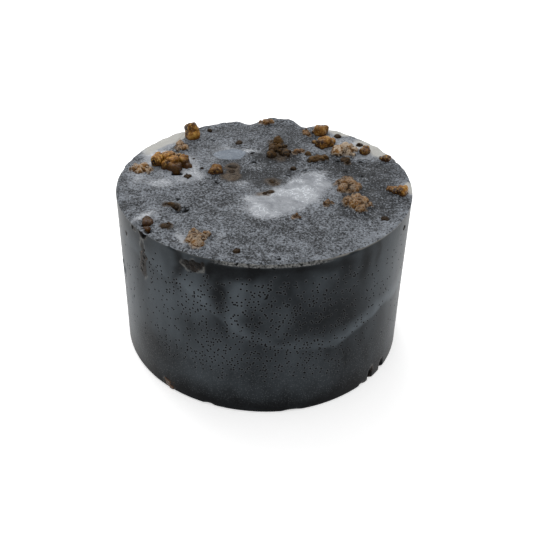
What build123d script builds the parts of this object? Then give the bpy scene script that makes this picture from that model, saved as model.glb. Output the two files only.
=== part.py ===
"""Shaving soap puck: a hand-poured, two-pour cylinder of soap with resin grains set in its top.

Frame: millimetres, +Z up, origin at the centre of the bottom face.  The front of the puck looks
along -Y.  Angles on the wall run from the front towards +X.

The puck is built up the way it was poured: a dark lower pour, a thin pale veil of lighter soap
that settled on it, a dark upper pour and a frothy crust.  White pools of clearer soap are inlaid
in the crust, and clusters of resin grains stand in it.  Every piece is carved around the pieces
already in place, so no two solids share any volume.
"""

import os
from math import cos, radians, sin

from build123d import *

# ---- Driving dimensions (mm) ----------------------------------------------------------------
puck_diameter = 63.5
puck_height = 37.9
crust_thickness = 1.6
veil_thickness = 2.8
pour_line_low = 15.8        # lowest point of the pour line
pour_line_high = 27.0       # height of the pour line on the left of the puck
pool_depth = 1.2            # the white pools are inlaid this deep in the crust
bottom_rounding = 0.8       # soft edge left by the mould
grain_scale = 1.0           # size of every resin grain, and the spacing inside its cluster
grain_turn = 137.5          # degrees that each lump of a cluster is turned from the last
grain_tilt = 17.0           # degrees that each lump leans

# ---- Derived values --------------------------------------------------------------------------
puck_radius = puck_diameter / 2
crust_underside = puck_height - crust_thickness
pour_line_rise = pour_line_high - pour_line_low
slab_reach = 1.1 * puck_radius
upright = (Align.CENTER, Align.CENTER, Align.MIN)

# The pour line seen from the front: (share of the radius, share of the pour line's rise).
pour_line = [(-1.1, 1.03), (-0.5, 1.0), (-0.17, 0.42), (0.34, 0.0), (0.76, 0.22), (1.1, 0.34)]

# White pools: closed outlines on the top face, as shares of the puck's radius.
pools = {
    "white_pool_centre": [
        (-0.14, -0.33), (-0.08, -0.50), (0.10, -0.48), (0.26, -0.36), (0.42, -0.27),
        (0.47, -0.08), (0.38, 0.07), (0.22, 0.08), (0.13, -0.06), (0.05, -0.22),
    ],
    "white_pool_left": [
        (-0.97, 0.02), (-0.78, -0.13), (-0.60, -0.10), (-0.47, 0.06), (-0.50, 0.22),
        (-0.68, 0.33), (-0.90, 0.24),
    ],
    "white_pool_back_left": [
        (-0.99, 0.36), (-0.78, 0.40), (-0.66, 0.56), (-0.60, 0.86), (-0.82, 0.84), (-1.02, 0.60),
    ],
    "white_pool_back_right": [
        (0.68, 0.46), (0.84, 0.36), (1.02, 0.36), (0.98, 0.62), (0.78, 0.72), (0.66, 0.60),
    ],
    "white_pool_back": [
        (0.50, 0.70), (0.60, 0.72), (0.70, 0.84), (0.62, 0.98), (0.50, 0.92),
    ],
    "white_chip_right": [
        (0.95, -0.02), (1.04, -0.14), (1.05, 0.02), (0.97, 0.05),
    ],
    "blue_grey_patch": [
        (-0.40, 0.40), (-0.32, 0.29), (-0.17, 0.31), (-0.12, 0.44), (-0.24, 0.50),
    ],
}

# Resin clusters on the top face.  Each has a place, as shares of the radius, and its grains:
# (x, y, height of the grain's centre above the top face, radius) in mm from that place.
clusters = {
    "amber_cluster": ((-0.665, 0.185), [
        (-2.3, 0.6, 1.3, 1.7), (-0.6, 1.7, 1.9, 1.8), (1.8, 0.4, 1.2, 2.0), (0.6, -1.6, 0.9, 1.6),
        (-0.4, -0.2, 1.9, 1.5), (1.3, 1.9, 1.5, 1.4),
    ]),
    "amber_nugget": ((-0.548, 0.655), [
        (0.0, 0.0, 0.9, 1.6), (-0.3, 0.5, 2.0, 1.3), (0.5, 0.6, 1.7, 1.1),
    ]),
    "tan_cluster_left": ((-0.835, 0.115), [
        (-1.6, 0.3, 0.0, 1.3), (0.0, 0.6, 0.2, 1.4), (1.2, -0.4, 0.0, 1.2), (-0.6, -0.8, -0.1, 1.1),
    ]),
    "brown_cluster_left": ((-0.605, 0.475), [
        (-0.6, 0.9, 0.1, 1.3), (0.6, -0.6, 0.0, 1.2), (-0.9, -0.5, -0.1, 1.0),
    ]),
    "round_nugget": ((-0.343, 0.115), [
        (0.0, 0.0, 0.4, 1.4), (0.2, 0.9, 0.5, 1.1),
    ]),
    "sunken_smear": ((-0.22, 0.13), [
        (0.0, 2.0, -0.9, 1.6), (-0.3, -0.1, -1.1, 1.5), (0.2, -1.9, -0.9, 1.6),
    ]),
    "dark_cluster_back": ((0.075, 0.47), [
        (0.2, 3.0, 0.3, 1.5), (-0.7, -0.4, -0.2, 1.5), (-1.2, -2.9, -0.2, 1.4),
        (1.9, -2.0, -0.1, 1.6), (1.0, 0.9, -0.1, 1.5), (-0.6, 1.5, 0.0, 1.2),
    ]),
    "pale_grain_back": ((0.235, 0.45), [
        (0.0, 0.0, -0.1, 1.2), (0.9, 0.5, -0.2, 0.9),
    ]),
    "dark_round_grain": ((0.31, 0.405), [
        (0.0, 0.0, 0.1, 0.8),
    ]),
    "cluster_right_middle": ((0.372, 0.315), [
        (-1.1, -0.4, 0.2, 1.3), (0.5, 0.4, 0.3, 1.5), (1.7, 0.9, 0.1, 1.0),
    ]),
    "nugget_back": ((0.41, 0.775), [
        (0.0, 0.0, 0.6, 1.6), (0.8, 0.5, 0.8, 1.2), (-1.0, 0.4, 0.1, 0.9),
    ]),
    "tan_grain_back": ((0.305, 0.765), [
        (0.0, 0.6, 0.1, 0.9), (0.1, -0.7, 0.0, 0.9),
    ]),
    "orange_cluster_back": ((0.44, 0.575), [
        (-0.9, -0.9, 0.3, 1.5), (0.6, 0.1, 0.6, 1.6), (-0.2, 1.4, 0.3, 1.3), (1.6, 1.2, 0.2, 1.1),
        (-1.9, 0.5, 0.0, 1.0),
    ]),
    "tan_cluster_back_right": ((0.575, 0.45), [
        (-1.7, -0.5, 0.2, 1.5), (0.0, 0.1, 0.6, 1.8), (1.8, 0.2, 0.4, 1.5), (0.7, -1.1, 0.1, 1.3),
        (-0.7, 1.1, 0.2, 1.3),
    ]),
    "nugget_right_back": ((0.725, 0.455), [
        (0.0, 0.0, 0.5, 1.2), (0.4, 0.6, 0.6, 0.9),
    ]),
    "rim_grain_right": ((0.865, 0.345), [
        (0.0, 0.0, 0.2, 1.1), (-0.8, 0.5, 0.0, 0.8),
    ]),
    "dark_grain_right": ((0.575, 0.325), [
        (0.0, 0.0, 0.1, 1.0), (0.2, -0.8, 0.0, 0.8),
    ]),
    "tan_grain_rim_back": ((0.0, 0.925), [
        (0.0, 0.0, 0.2, 1.3), (0.9, 0.4, 0.1, 1.1), (-0.9, 0.2, -0.1, 0.9),
    ]),
    "brown_cluster_right": ((0.555, -0.06), [
        (0.1, 2.6, 0.1, 1.3), (-0.9, 1.0, 0.2, 1.4), (0.6, 0.5, 0.5, 1.6), (-0.7, -1.1, 0.2, 1.4),
        (0.9, -1.7, 0.2, 1.3), (1.5, -0.4, 0.1, 1.1),
    ]),
    "tan_cluster_right": ((0.60, -0.27), [
        (0.3, 1.5, 0.3, 1.4), (-1.3, 0.3, 0.2, 1.4), (0.9, 0.0, 0.5, 1.5), (-0.2, -1.3, 0.2, 1.3),
        (0.5, -2.5, 0.2, 1.1),
    ]),
    "orange_grain_right": ((0.885, -0.105), [
        (0.4, -0.6, 0.3, 1.4), (-0.5, 0.5, 0.2, 1.2),
    ]),
    "grain_pool_right": ((0.41, -0.30), [
        (0.0, 0.0, 0.0, 1.0), (0.7, 0.3, -0.1, 0.8),
    ]),
    "grain_pool_front": ((0.205, -0.475), [
        (0.0, 0.0, 0.0, 0.9), (0.7, -0.3, -0.1, 0.6),
    ]),
    "sunken_grain_centre": ((0.05, -0.01), [
        (0.0, 0.0, -0.8, 1.5), (0.7, -1.0, -0.8, 1.2), (-0.4, -5.0, -0.3, 1.2),
        (-1.5, -5.7, -0.4, 0.9), (0.3, -3.0, -1.0, 1.4),
    ]),
    "flat_flake_left": ((-0.60, -0.355), [
        (0.0, 0.0, -0.3, 1.2), (-1.0, 0.4, -0.4, 1.0), (1.0, -0.3, -0.3, 0.9),
    ]),
    "crater_grain_left": ((-0.725, -0.54), [
        (0.0, 0.0, -0.2, 1.2), (-0.3, 1.0, -0.2, 0.9), (0.3, -2.9, -0.3, 0.8),
    ]),
    "soft_grain_left": ((-0.60, -0.615), [
        (0.0, 0.0, -0.2, 1.2), (0.5, 0.5, -0.2, 0.9),
    ]),
    "tan_cluster_front": ((-0.395, -0.77), [
        (0.2, -1.5, 0.2, 1.5), (-1.0, 0.2, 0.2, 1.4), (0.8, 0.6, 0.1, 1.4), (-0.7, 2.1, 0.0, 1.3),
        (1.4, 2.0, 0.0, 0.9),
    ]),
}

# Small single grains scattered over the top face: (x share, y share, radius in mm).
scattered_grains = [
    (-0.53, 0.04, 0.9), (-0.51, 0.31, 0.5), (-0.44, 0.17, 0.5), (-0.425, 0.79, 0.8),
    (-0.195, 0.585, 0.9), (0.20, 0.19, 0.8), (0.545, 0.73, 0.9), (0.695, 0.585, 0.8),
    (0.77, -0.47, 0.8), (-0.155, -0.88, 0.8),
]

# Grains and a rust-brown smear that show on the wall: (angle, drop below the rim, radius).
rust_smear = [(-27.0, 2.2, 1.0), (-25.0, 2.9, 1.1), (-22.5, 2.4, 1.1), (-20.8, 1.9, 0.8)]
brown_trail = [(-50.5, 10.0, 0.8), (-49.5, 8.2, 0.9), (-48.5, 6.4, 0.9), (-48.0, 4.6, 0.8)]
wall_specks = [(-62.0, 4.6, 0.7), (-55.5, 1.2, 0.7), (66.0, 3.2, 0.7)]
# Grain caught at the bottom edge: (angle, height above the bottom, radius).
bottom_grain = [(-39.0, 1.5, 1.3), (-37.0, 0.9, 0.9), (-41.0, 2.2, 0.8)]
wall_sinking = 0.4          # the centres of wall grains lie this far inside the wall

# Chips broken out of the puck's edges: (angle, height above the bottom, radius).
edge_chips = [(-48.0, puck_height, 1.0), (50.0, 0.8, 1.1), (58.0, 0.6, 1.2)]


def top_place(share_x, share_y):
    """Point on the top face from shares of the puck's radius."""
    return Vector(puck_radius * share_x, puck_radius * share_y, puck_height)


def wall_place(angle, height, sinking):
    """Point on the wall, sunk into the soap by the given depth."""
    reach = puck_radius - sinking
    return Vector(reach * sin(radians(angle)), -reach * cos(radians(angle)), height)


def pour_line_curve(lift):
    """Pour line across the puck, seen from the front and raised by lift."""
    return [(puck_radius * x, pour_line_low + pour_line_rise * rise + lift) for x, rise in pour_line]


def slab_below(curve):
    """Block from the bottom of the puck up to a curve seen from the front."""
    foot_left = (curve[0][0], 0.0)
    foot_right = (curve[-1][0], 0.0)
    with BuildPart() as slab:
        with BuildSketch(Plane.XZ):
            with BuildLine():
                Spline(*curve)
                Polyline(curve[-1], foot_right, foot_left, curve[0])
            make_face()
        extrude(amount=slab_reach, both=True)
    return slab.part


def grain_lump(radius):
    """One lump of resin: a block with every edge broken into a flat facet."""
    with BuildPart() as lump:
        Box(1.9 * radius, 1.7 * radius, 1.8 * radius)
        chamfer(lump.edges(), length=0.5 * radius)
    return lump.part


def grain_cluster(grains):
    """Lumps grown into one another; each grain is a centre and a radius, and each is turned."""
    lumps = [grain_lump(radius * grain_scale) for centre, radius in grains]
    with BuildPart() as cluster:
        for number, (centre, radius) in enumerate(grains):
            turn = grain_turn * (number + 1)
            with Locations(Location(centre, (grain_tilt, 2 * grain_tilt, turn))):
                add(lumps[number])
    return cluster.part


def carve(piece, neighbours):
    """Cut a piece back to the faces of the pieces it touches."""
    touching = [neighbour for neighbour in neighbours if boxes_meet(piece, neighbour)]
    with BuildPart() as carved:
        add(piece)
        if touching:
            add(touching, mode=Mode.SUBTRACT)
    return carved.part


def boxes_meet(first, second):
    """Whether the bounding boxes of two pieces meet."""
    a, b = first.bounding_box(), second.bounding_box()
    apart_x = a.max.X < b.min.X or b.max.X < a.min.X
    apart_y = a.max.Y < b.min.Y or b.max.Y < a.min.Y
    apart_z = a.max.Z < b.min.Z or b.max.Z < a.min.Z
    return not (apart_x or apart_y or apart_z)


placed = []     # every inclusion made so far, in the order in which it was set
nodes = {}      # node name -> finished solid


def keep(name, solid):
    """Label a finished piece and keep it for export."""
    solid.label = name
    nodes[name] = solid


def place_inclusion(name, piece):
    """Carve an inclusion around the ones already set, then keep it."""
    solid = carve(piece, placed)
    placed.append(solid)
    keep(name, solid)


# ---- Resin clusters in the top face -----------------------------------------------------------
for name, (place, grains) in clusters.items():
    base = top_place(*place)
    placed_grains = [(base + Vector(x, y, rise) * grain_scale, size) for x, y, rise, size in grains]
    place_inclusion(name, grain_cluster(placed_grains))

scatter = [(top_place(share_x, share_y), size) for share_x, share_y, size in scattered_grains]
place_inclusion("scattered_grains", grain_cluster(scatter))

# ---- Grains and smears in the wall, flush with it ----------------------------------------------
wall_pieces = {
    "rust_smear": [(angle, puck_height - drop, size) for angle, drop, size in rust_smear],
    "brown_trail": [(angle, puck_height - drop, size) for angle, drop, size in brown_trail],
    "wall_specks": [(angle, puck_height - drop, size) for angle, drop, size in wall_specks],
    "bottom_grain": bottom_grain,
}
for name, grains in wall_pieces.items():
    sunk = [(wall_place(angle, height, wall_sinking), size) for angle, height, size in grains]
    with BuildPart() as wall_piece:
        add(grain_cluster(sunk))
        Cylinder(puck_radius, puck_height, align=upright, mode=Mode.INTERSECT)
    place_inclusion(name, wall_piece.part)

# ---- White pools, inlaid flush with the top face ----------------------------------------------
for name, outline in pools.items():
    with BuildPart() as pool:
        with BuildSketch(Plane.XY.offset(puck_height - pool_depth)):
            with BuildLine():
                Spline(*[(puck_radius * x, puck_radius * y) for x, y in outline], periodic=True)
            make_face()
        extrude(amount=pool_depth)
        Cylinder(puck_radius, puck_height, align=upright, mode=Mode.INTERSECT)
    place_inclusion(name, pool.part)

# ---- Chips missing from the edges -------------------------------------------------------------
with BuildPart() as chips:
    for angle, height, radius in edge_chips:
        with Locations(wall_place(angle, height, 0.0)):
            Sphere(radius)
carved_out = placed + [chips.part]

# ---- The poured body ---------------------------------------------------------------------------
below_veil = slab_below(pour_line_curve(0.0))
below_upper_pour = slab_below(pour_line_curve(veil_thickness))

with BuildPart() as lower_pour:
    Cylinder(puck_radius, crust_underside, align=upright)
    fillet(lower_pour.edges().group_by(Axis.Z)[0], radius=bottom_rounding)
    add(below_veil, mode=Mode.INTERSECT)
keep("lower_pour", carve(lower_pour.part, carved_out))

with BuildPart() as pour_line_veil:
    Cylinder(puck_radius, crust_underside, align=upright)
    add(below_upper_pour, mode=Mode.INTERSECT)
    add(below_veil, mode=Mode.SUBTRACT)
keep("pour_line_veil", carve(pour_line_veil.part, carved_out))

with BuildPart() as upper_pour:
    Cylinder(puck_radius, crust_underside, align=upright)
    add(below_upper_pour, mode=Mode.SUBTRACT)
keep("upper_pour", carve(upper_pour.part, carved_out))

with BuildPart() as froth_crust:
    with BuildSketch(Plane.XY.offset(crust_underside)):
        Circle(puck_radius)
    extrude(amount=crust_thickness)
keep("froth_crust", carve(froth_crust.part, carved_out))

# ---- Export ------------------------------------------------------------------------------------
os.makedirs("parts", exist_ok=True)
for name, solid in nodes.items():
    export_step(solid, f"parts/{name}.step")
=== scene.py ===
"""Looks of a hand-poured shaving soap puck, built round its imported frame.

The frame gives the puck's radius, height and the place of every cluster and pool.  Shapes are
worked out in millimetres with numpy and written to meshes in metres.  The puck's front looks
along -Y, and angles on its wall run from the front towards +X.
"""

import logging
import math
from dataclasses import dataclass, replace
from enum import Enum
from typing import Callable, Sequence, Union

import bmesh
import bpy
import numpy as np
from mathutils import Matrix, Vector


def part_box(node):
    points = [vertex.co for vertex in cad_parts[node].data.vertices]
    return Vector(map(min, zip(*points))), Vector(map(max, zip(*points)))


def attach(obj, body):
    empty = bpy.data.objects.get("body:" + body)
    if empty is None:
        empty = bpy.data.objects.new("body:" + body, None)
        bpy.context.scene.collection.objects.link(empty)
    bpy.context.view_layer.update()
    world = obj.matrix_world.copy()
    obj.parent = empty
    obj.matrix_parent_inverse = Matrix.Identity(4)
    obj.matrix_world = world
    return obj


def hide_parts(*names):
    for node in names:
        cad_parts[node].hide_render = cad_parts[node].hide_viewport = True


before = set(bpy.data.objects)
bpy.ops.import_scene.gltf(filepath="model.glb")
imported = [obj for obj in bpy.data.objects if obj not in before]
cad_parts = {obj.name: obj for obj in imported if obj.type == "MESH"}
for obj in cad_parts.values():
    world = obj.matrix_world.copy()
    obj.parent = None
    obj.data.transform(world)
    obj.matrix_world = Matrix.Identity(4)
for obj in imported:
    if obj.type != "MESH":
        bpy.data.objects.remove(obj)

MM = 0.001                      # metres in a millimetre
BODY = "root"
NO_CREASE = 180.0               # degrees an edge can turn at most
BLUE_CALM = 0.95                # share of smooth soap in the blue-grey patch
LOG = logging.getLogger("soap_puck")

Array = np.ndarray
Fields = dict[str, Array]
Place = tuple[float, float, float]


# ---- Numbers over space ----------------------------------------------------

class Rumple:
    """Smooth random values over space, from a seeded lattice that repeats every 32 cells."""

    SIDE = 32
    LAYER_SHIFT = 7.3           # mm between the places where two layers read the lattice
    LAYER_SUM = 1.6             # brings a sum of layers back to about -1 to 1

    def __init__(self, seed: int) -> None:
        """Fill the lattice.

        Args:
            seed: Seed of the random values.
        """
        self.lattice = np.random.default_rng(seed).uniform(-1.0, 1.0, (self.SIDE,) * 3)

    def value(self, points: Array, cell: float) -> Array:
        """Values from -1 to 1, blended between lattice corners by 3t^2 - 2t^3.

        Args:
            points: Places in mm, shaped (..., 3).
            cell: Size of one lattice cell in mm.

        Returns:
            One value for each point.
        """
        scaled = np.asarray(points, float) / cell
        corner = np.floor(scaled).astype(int)
        part = scaled - corner
        part = part * part * (3.0 - 2.0 * part)
        total = np.zeros(scaled.shape[:-1])
        for x_step in (0, 1):
            for y_step in (0, 1):
                for z_step in (0, 1):
                    step = np.array([x_step, y_step, z_step])
                    share = np.where(step == 1, part, 1.0 - part).prod(axis=-1)
                    index = (corner + step) % self.SIDE
                    total += share * self.lattice[index[..., 0], index[..., 1], index[..., 2]]
        return total

    def layered(self, points: Array, cell: float, layers: int) -> Array:
        """Sum of layers, each with half the cell and half the height of the last.

        Args:
            points: Places in mm, shaped (..., 3).
            cell: Cell of the first layer in mm.
            layers: How many layers are added.

        Returns:
            One value for each point, within about -1 to 1.
        """
        total = np.zeros(np.asarray(points).shape[:-1])
        for layer in range(layers):
            shift = self.LAYER_SHIFT * layer
            total += self.value(np.asarray(points) + shift, cell / 2 ** layer) / 2 ** layer
        return total / self.LAYER_SUM


def smooth_step(low: float, high: float, values: Array) -> Array:
    """Rise from 0 at low to 1 at high along 3t^2 - 2t^3."""
    share = np.clip((values - low) / (high - low), 0.0, 1.0)
    return share * share * (3.0 - 2.0 * share)


@dataclass(frozen=True)
class Blob:
    """Soft oval spot on the top face or on the unrolled wall, in mm."""

    x: float
    y: float
    long: float
    short: float
    angle: float = 0.0
    strength: float = 1.0

    def over(self, x: Array, y: Array) -> Array:
        """Height of the spot: strength times exp(-d^4), d being the distance in half-axes."""
        turn = math.radians(self.angle)
        along = (x - self.x) * math.cos(turn) + (y - self.y) * math.sin(turn)
        across = (y - self.y) * math.cos(turn) - (x - self.x) * math.sin(turn)
        squared = (along / self.long) ** 2 + (across / self.short) ** 2
        return self.strength * np.exp(-squared * np.sqrt(squared))


def blobs(*rows: Sequence[float]) -> tuple[Blob, ...]:
    """Spots from rows of x, y and the half-axes, then angle and strength where they differ."""
    return tuple(Blob(*row) for row in rows)


def blend_blobs(spots: Sequence[Blob], x: Array, y: Array) -> Array:
    """Join of spots: 1 minus the product of what each leaves uncovered."""
    left = np.ones_like(x)
    for blob in spots:
        left *= 1.0 - np.clip(blob.over(x, y), 0.0, 1.0)
    return 1.0 - left


# ---- Meshes ----------------------------------------------------------------

class MeshDraft:
    """Points and faces of one piece while it is made, in millimetres."""

    def __init__(self) -> None:
        """Start an empty draft."""
        self.points: list[Array] = []
        self.count = 0
        self.faces: list[tuple[Array, int]] = []

    def add(self, points: Array) -> Array:
        """Add points.

        Args:
            points: Places in mm, shaped (..., 3).

        Returns:
            The new points' numbers, shaped as the points are.
        """
        shape = points.shape[:-1]
        size = int(np.prod(shape))
        numbers = np.arange(self.count, self.count + size).reshape(shape)
        self.points.append(points.reshape(-1, 3))
        self.count += size
        return numbers

    def weave(self, numbers: Array, closed: bool, finish: int = 0) -> None:
        """Lay a quad in every cell of a table of point numbers.

        Args:
            numbers: Point numbers, shaped (rows, columns).
            closed: Whether the last column joins the first.
            finish: Number of the finish that the quads take.
        """
        right = np.roll(numbers, -1, axis=1) if closed else numbers[:, 1:]
        left = numbers if closed else numbers[:, :-1]
        quads = np.stack([left[:-1], right[:-1], right[1:], left[1:]], axis=-1)
        self.faces.append((quads.reshape(-1, 4), finish))

    def fan(self, ring: Array, pole: int, finish: int = 0) -> None:
        """Close a ring of points with triangles to one pole."""
        after = np.roll(ring, -1)
        triangles = np.stack([ring, after, np.full_like(ring, pole)], axis=-1)
        self.faces.append((triangles, finish))

    def capped_rings(self, rings: Array, low_pole: Array, high_pole: Array) -> None:
        """Add a closed skin from rings, with a pole point at each end.

        Args:
            rings: Places in mm, shaped (rings, points round, 3).
            low_pole: Place that closes the first ring.
            high_pole: Place that closes the last ring.
        """
        numbers = self.add(rings)
        poles = self.add(np.stack([low_pole, high_pole]))
        self.weave(numbers, closed=True)
        self.fan(numbers[0], poles[0])
        self.fan(numbers[-1], poles[1])

    def all_points(self) -> Array:
        """Every point of the draft, shaped (points, 3)."""
        return np.concatenate(self.points)

    def make(self, name: str, fields: Fields, crease: float = NO_CREASE) -> bpy.types.Object:
        """Write the draft to a smooth-shaded object at the origin, with its faces outwards.

        Args:
            name: Name of the object.
            fields: Values for each point, kept as attributes of the mesh.
            crease: Edges that turn by more than this many degrees are shaded sharp.

        Returns:
            The new object, linked to the scene.
        """
        mesh = bpy.data.meshes.new(name)
        faces = [face for part, _ in self.faces for face in part.tolist()]
        mesh.from_pydata((self.all_points() * MM).tolist(), [], faces)
        finishes = np.concatenate([np.full(len(part), number) for part, number in self.faces])
        mesh.polygons.foreach_set("material_index", finishes.astype(np.int32))
        for key, values in fields.items():
            layer = mesh.attributes.new(key, "FLOAT", "POINT")
            layer.data.foreach_set("value", np.asarray(values, np.float32))
        skin = bmesh.new()
        skin.from_mesh(mesh)
        bmesh.ops.recalc_face_normals(skin, faces=skin.faces)
        skin.to_mesh(mesh)
        skin.free()
        mesh.polygons.foreach_set("use_smooth", np.ones(len(mesh.polygons), bool))
        if crease < NO_CREASE:
            mesh.set_sharp_from_angle(angle=math.radians(crease))
        mesh.update()
        piece = bpy.data.objects.new(name, mesh)
        bpy.context.scene.collection.objects.link(piece)
        return piece


def settle(piece: bpy.types.Object, nodes: Sequence[str], slot: str) -> None:
    """Ride a piece on the puck in place of its CAD nodes, and log how many triangles it has."""
    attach(piece, BODY)
    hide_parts(*nodes)
    triangles = sum(len(face.vertices) - 2 for face in piece.data.polygons)
    LOG.info("%s: %d triangles", piece.name, triangles)


# ---- Shader tools ----------------------------------------------------------

class Wire:
    """One output socket; arithmetic on it adds Math nodes."""

    def __init__(self, bench: "Bench", socket: bpy.types.NodeSocket) -> None:
        """Keep the socket and the material it belongs to."""
        self.bench = bench
        self.socket = socket

    def math(self, operation: str, *others: "Number", clamp: bool = False) -> "Wire":
        """Math node of the given operation, with this value first."""
        inputs = dict(enumerate((self,) + others))
        settings = {"operation": operation, "use_clamp": clamp}
        return self.bench.node("ShaderNodeMath", settings, inputs)

    def __add__(self, other: "Number") -> "Wire":
        """This plus other."""
        return self.math("ADD", other)

    __radd__ = __add__

    def __sub__(self, other: "Number") -> "Wire":
        """This less other."""
        return self.math("SUBTRACT", other)

    def __rsub__(self, other: float) -> "Wire":
        """Other less this."""
        return self.math("MULTIPLY_ADD", -1.0, other)

    def __mul__(self, other: "Number") -> "Wire":
        """This times other."""
        return self.math("MULTIPLY", other)

    def largest(self, other: "Number") -> "Wire":
        """The larger of this and other."""
        return self.math("MAXIMUM", other)

    def step(self, low: float, high: float) -> "Wire":
        """Smooth rise from 0 where this is low to 1 where it is high."""
        settings = {"interpolation_type": "SMOOTHSTEP"}
        return self.bench.node("ShaderNodeMapRange", settings, {0: self, 1: low, 2: high})


Number = Union[Wire, float]
Colour = tuple[float, float, float]
Tint = Union[Wire, Colour]
Span = tuple[float, float]


class Bench:
    """Node tree of one material, with the few node recipes that the soap needs."""

    MIX_SHARE, MIX_FIRST, MIX_SECOND, MIX_RESULT = 0, 6, 7, 2   # sockets of a colour mix

    def __init__(self, name: str) -> None:
        """Make an empty material.

        Args:
            name: Name of the material.
        """
        self.material = bpy.data.materials.new(name)
        self.material.use_nodes = True
        self.tree = self.material.node_tree
        self.tree.nodes.clear()
        place = self.node("ShaderNodeTexCoord", {}, {}, output="Object")
        settings = {"operation": "SCALE"}
        self.place = self.node("ShaderNodeVectorMath", settings, {0: place, "Scale": 1.0 / MM})

    def node(self, kind: str, settings: dict, inputs: dict,
             output: Union[int, str] = 0) -> Wire:
        """Add a node.

        Args:
            kind: The node's type.
            settings: Properties of the node, set before its sockets.
            inputs: Values or wires by the socket's number or name.
            output: Which output to return.

        Returns:
            The chosen output as a wire.
        """
        made = self.tree.nodes.new(kind)
        for key, value in settings.items():
            setattr(made, key, value)
        for key, value in inputs.items():
            if isinstance(value, Wire):
                self.tree.links.new(value.socket, made.inputs[key])
            else:
                made.inputs[key].default_value = value
        return Wire(self, made.outputs[output])

    def field(self, name: str) -> Wire:
        """Value of a mesh attribute."""
        return self.node("ShaderNodeAttribute", {"attribute_name": name}, {}, output="Fac")

    def noise(self, per_mm: float, detail: float = 2.0, roughness: float = 0.5,
              offset: float = 0.0) -> Wire:
        """Noise texture on the piece's own millimetres, about 0.5 on average."""
        shifted = self.vector("ADD", self.place, (offset, offset, offset))
        inputs = {"Vector": shifted, "Scale": per_mm, "Detail": detail, "Roughness": roughness}
        return self.node("ShaderNodeTexNoise", {}, inputs)

    def ridges(self, per_mm: float, detail: float, roughness: float, offset: float) -> Wire:
        """Noise folded about its middle, 1 along thin wandering lines and less beside them."""
        fold = self.noise(per_mm, detail, roughness, offset) * 2.0 - 1.0
        return 1 - fold.math("ABSOLUTE")

    def cells(self, per_mm: float, output: str = "Distance") -> Wire:
        """Voronoi pattern: the distance to the nearest cell's middle, or the output named."""
        inputs = {"Vector": self.place, "Scale": per_mm, "Randomness": 1.0}
        return self.node("ShaderNodeTexVoronoi", {"feature": "F1"}, inputs, output)

    def cell_luck(self, per_mm: float) -> Wire:
        """Random value of each cell of the same Voronoi pattern."""
        chance = self.cells(per_mm, "Color")
        return self.node("ShaderNodeSeparateColor", {}, {0: chance}, output=0)

    def pinholes(self, per_mm: float) -> tuple[Wire, Wire]:
        """Pinholes of a wall round the Z axis, one for each cell whose middle is near the wall.

        The distance along the wall is the square root of the whole distance to the cell's middle,
        squared, less the distance outwards, squared.

        Args:
            per_mm: Cells in each mm.

        Returns:
            Distance along the wall to the pinhole's middle, and distance outwards, in mm.
        """
        middle = self.cells(per_mm, "Position")
        away = self.vector("SUBTRACT", self.place, middle)
        flat = self.vector("MULTIPLY", self.place, (1.0, 1.0, 0.0))
        outwards = self.vector("NORMALIZE", flat, (0.0, 0.0, 0.0))
        depth = self.vector("DOT_PRODUCT", away, outwards, output="Value")
        whole = self.vector("DOT_PRODUCT", away, away, output="Value")
        along = (whole - depth * depth).largest(0.0).math("SQRT")
        return along, depth.math("ABSOLUTE")

    def vector(self, operation: str, first: Wire, second: Tint,
               output: Union[int, str] = 0) -> Wire:
        """Vector Math node of the given operation."""
        return self.node("ShaderNodeVectorMath", {"operation": operation},
                         {0: first, 1: second}, output)

    def mix(self, share: Number, first: Tint, second: Tint) -> Wire:
        """Colour mix: first where share is 0, second where it is 1."""
        made = self.tree.nodes.new("ShaderNodeMix")
        made.data_type = "RGBA"
        made.clamp_factor = True
        for key, value in ((self.MIX_SHARE, share), (self.MIX_FIRST, first),
                           (self.MIX_SECOND, second)):
            if isinstance(value, Wire):
                self.tree.links.new(value.socket, made.inputs[key])
            elif key == self.MIX_SHARE:
                made.inputs[key].default_value = value
            else:
                made.inputs[key].default_value = (*value, 1.0)
        return Wire(self, made.outputs[self.MIX_RESULT])

    def bump(self, height: Wire, depth_mm: float, strength: float = 1.0) -> Wire:
        """Bump node whose height of 1 stands for the given depth."""
        inputs = {"Height": height, "Distance": depth_mm * MM, "Strength": strength}
        return self.node("ShaderNodeBump", {}, inputs, output="Normal")

    def surface(self, colour: Tint, roughness: Number, normal: Wire,
                **sockets: float) -> bpy.types.Material:
        """Close the material with a Principled BSDF.

        Args:
            colour: Base colour.
            roughness: Roughness.
            normal: Bumped normal.
            **sockets: Even values of other sockets, with underscores for spaces.

        Returns:
            The finished material.
        """
        inputs: dict = {key.replace("_", " "): value for key, value in sockets.items()}
        inputs["Base Color"] = colour if isinstance(colour, Wire) else (*colour, 1.0)
        inputs["Roughness"] = roughness
        inputs["Normal"] = normal
        shader = self.node("ShaderNodeBsdfPrincipled", {}, inputs)
        end = self.tree.nodes.new("ShaderNodeOutputMaterial")
        self.tree.links.new(shader.socket, end.inputs["Surface"])
        return self.material


# ---- Finishes --------------------------------------------------------------

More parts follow.
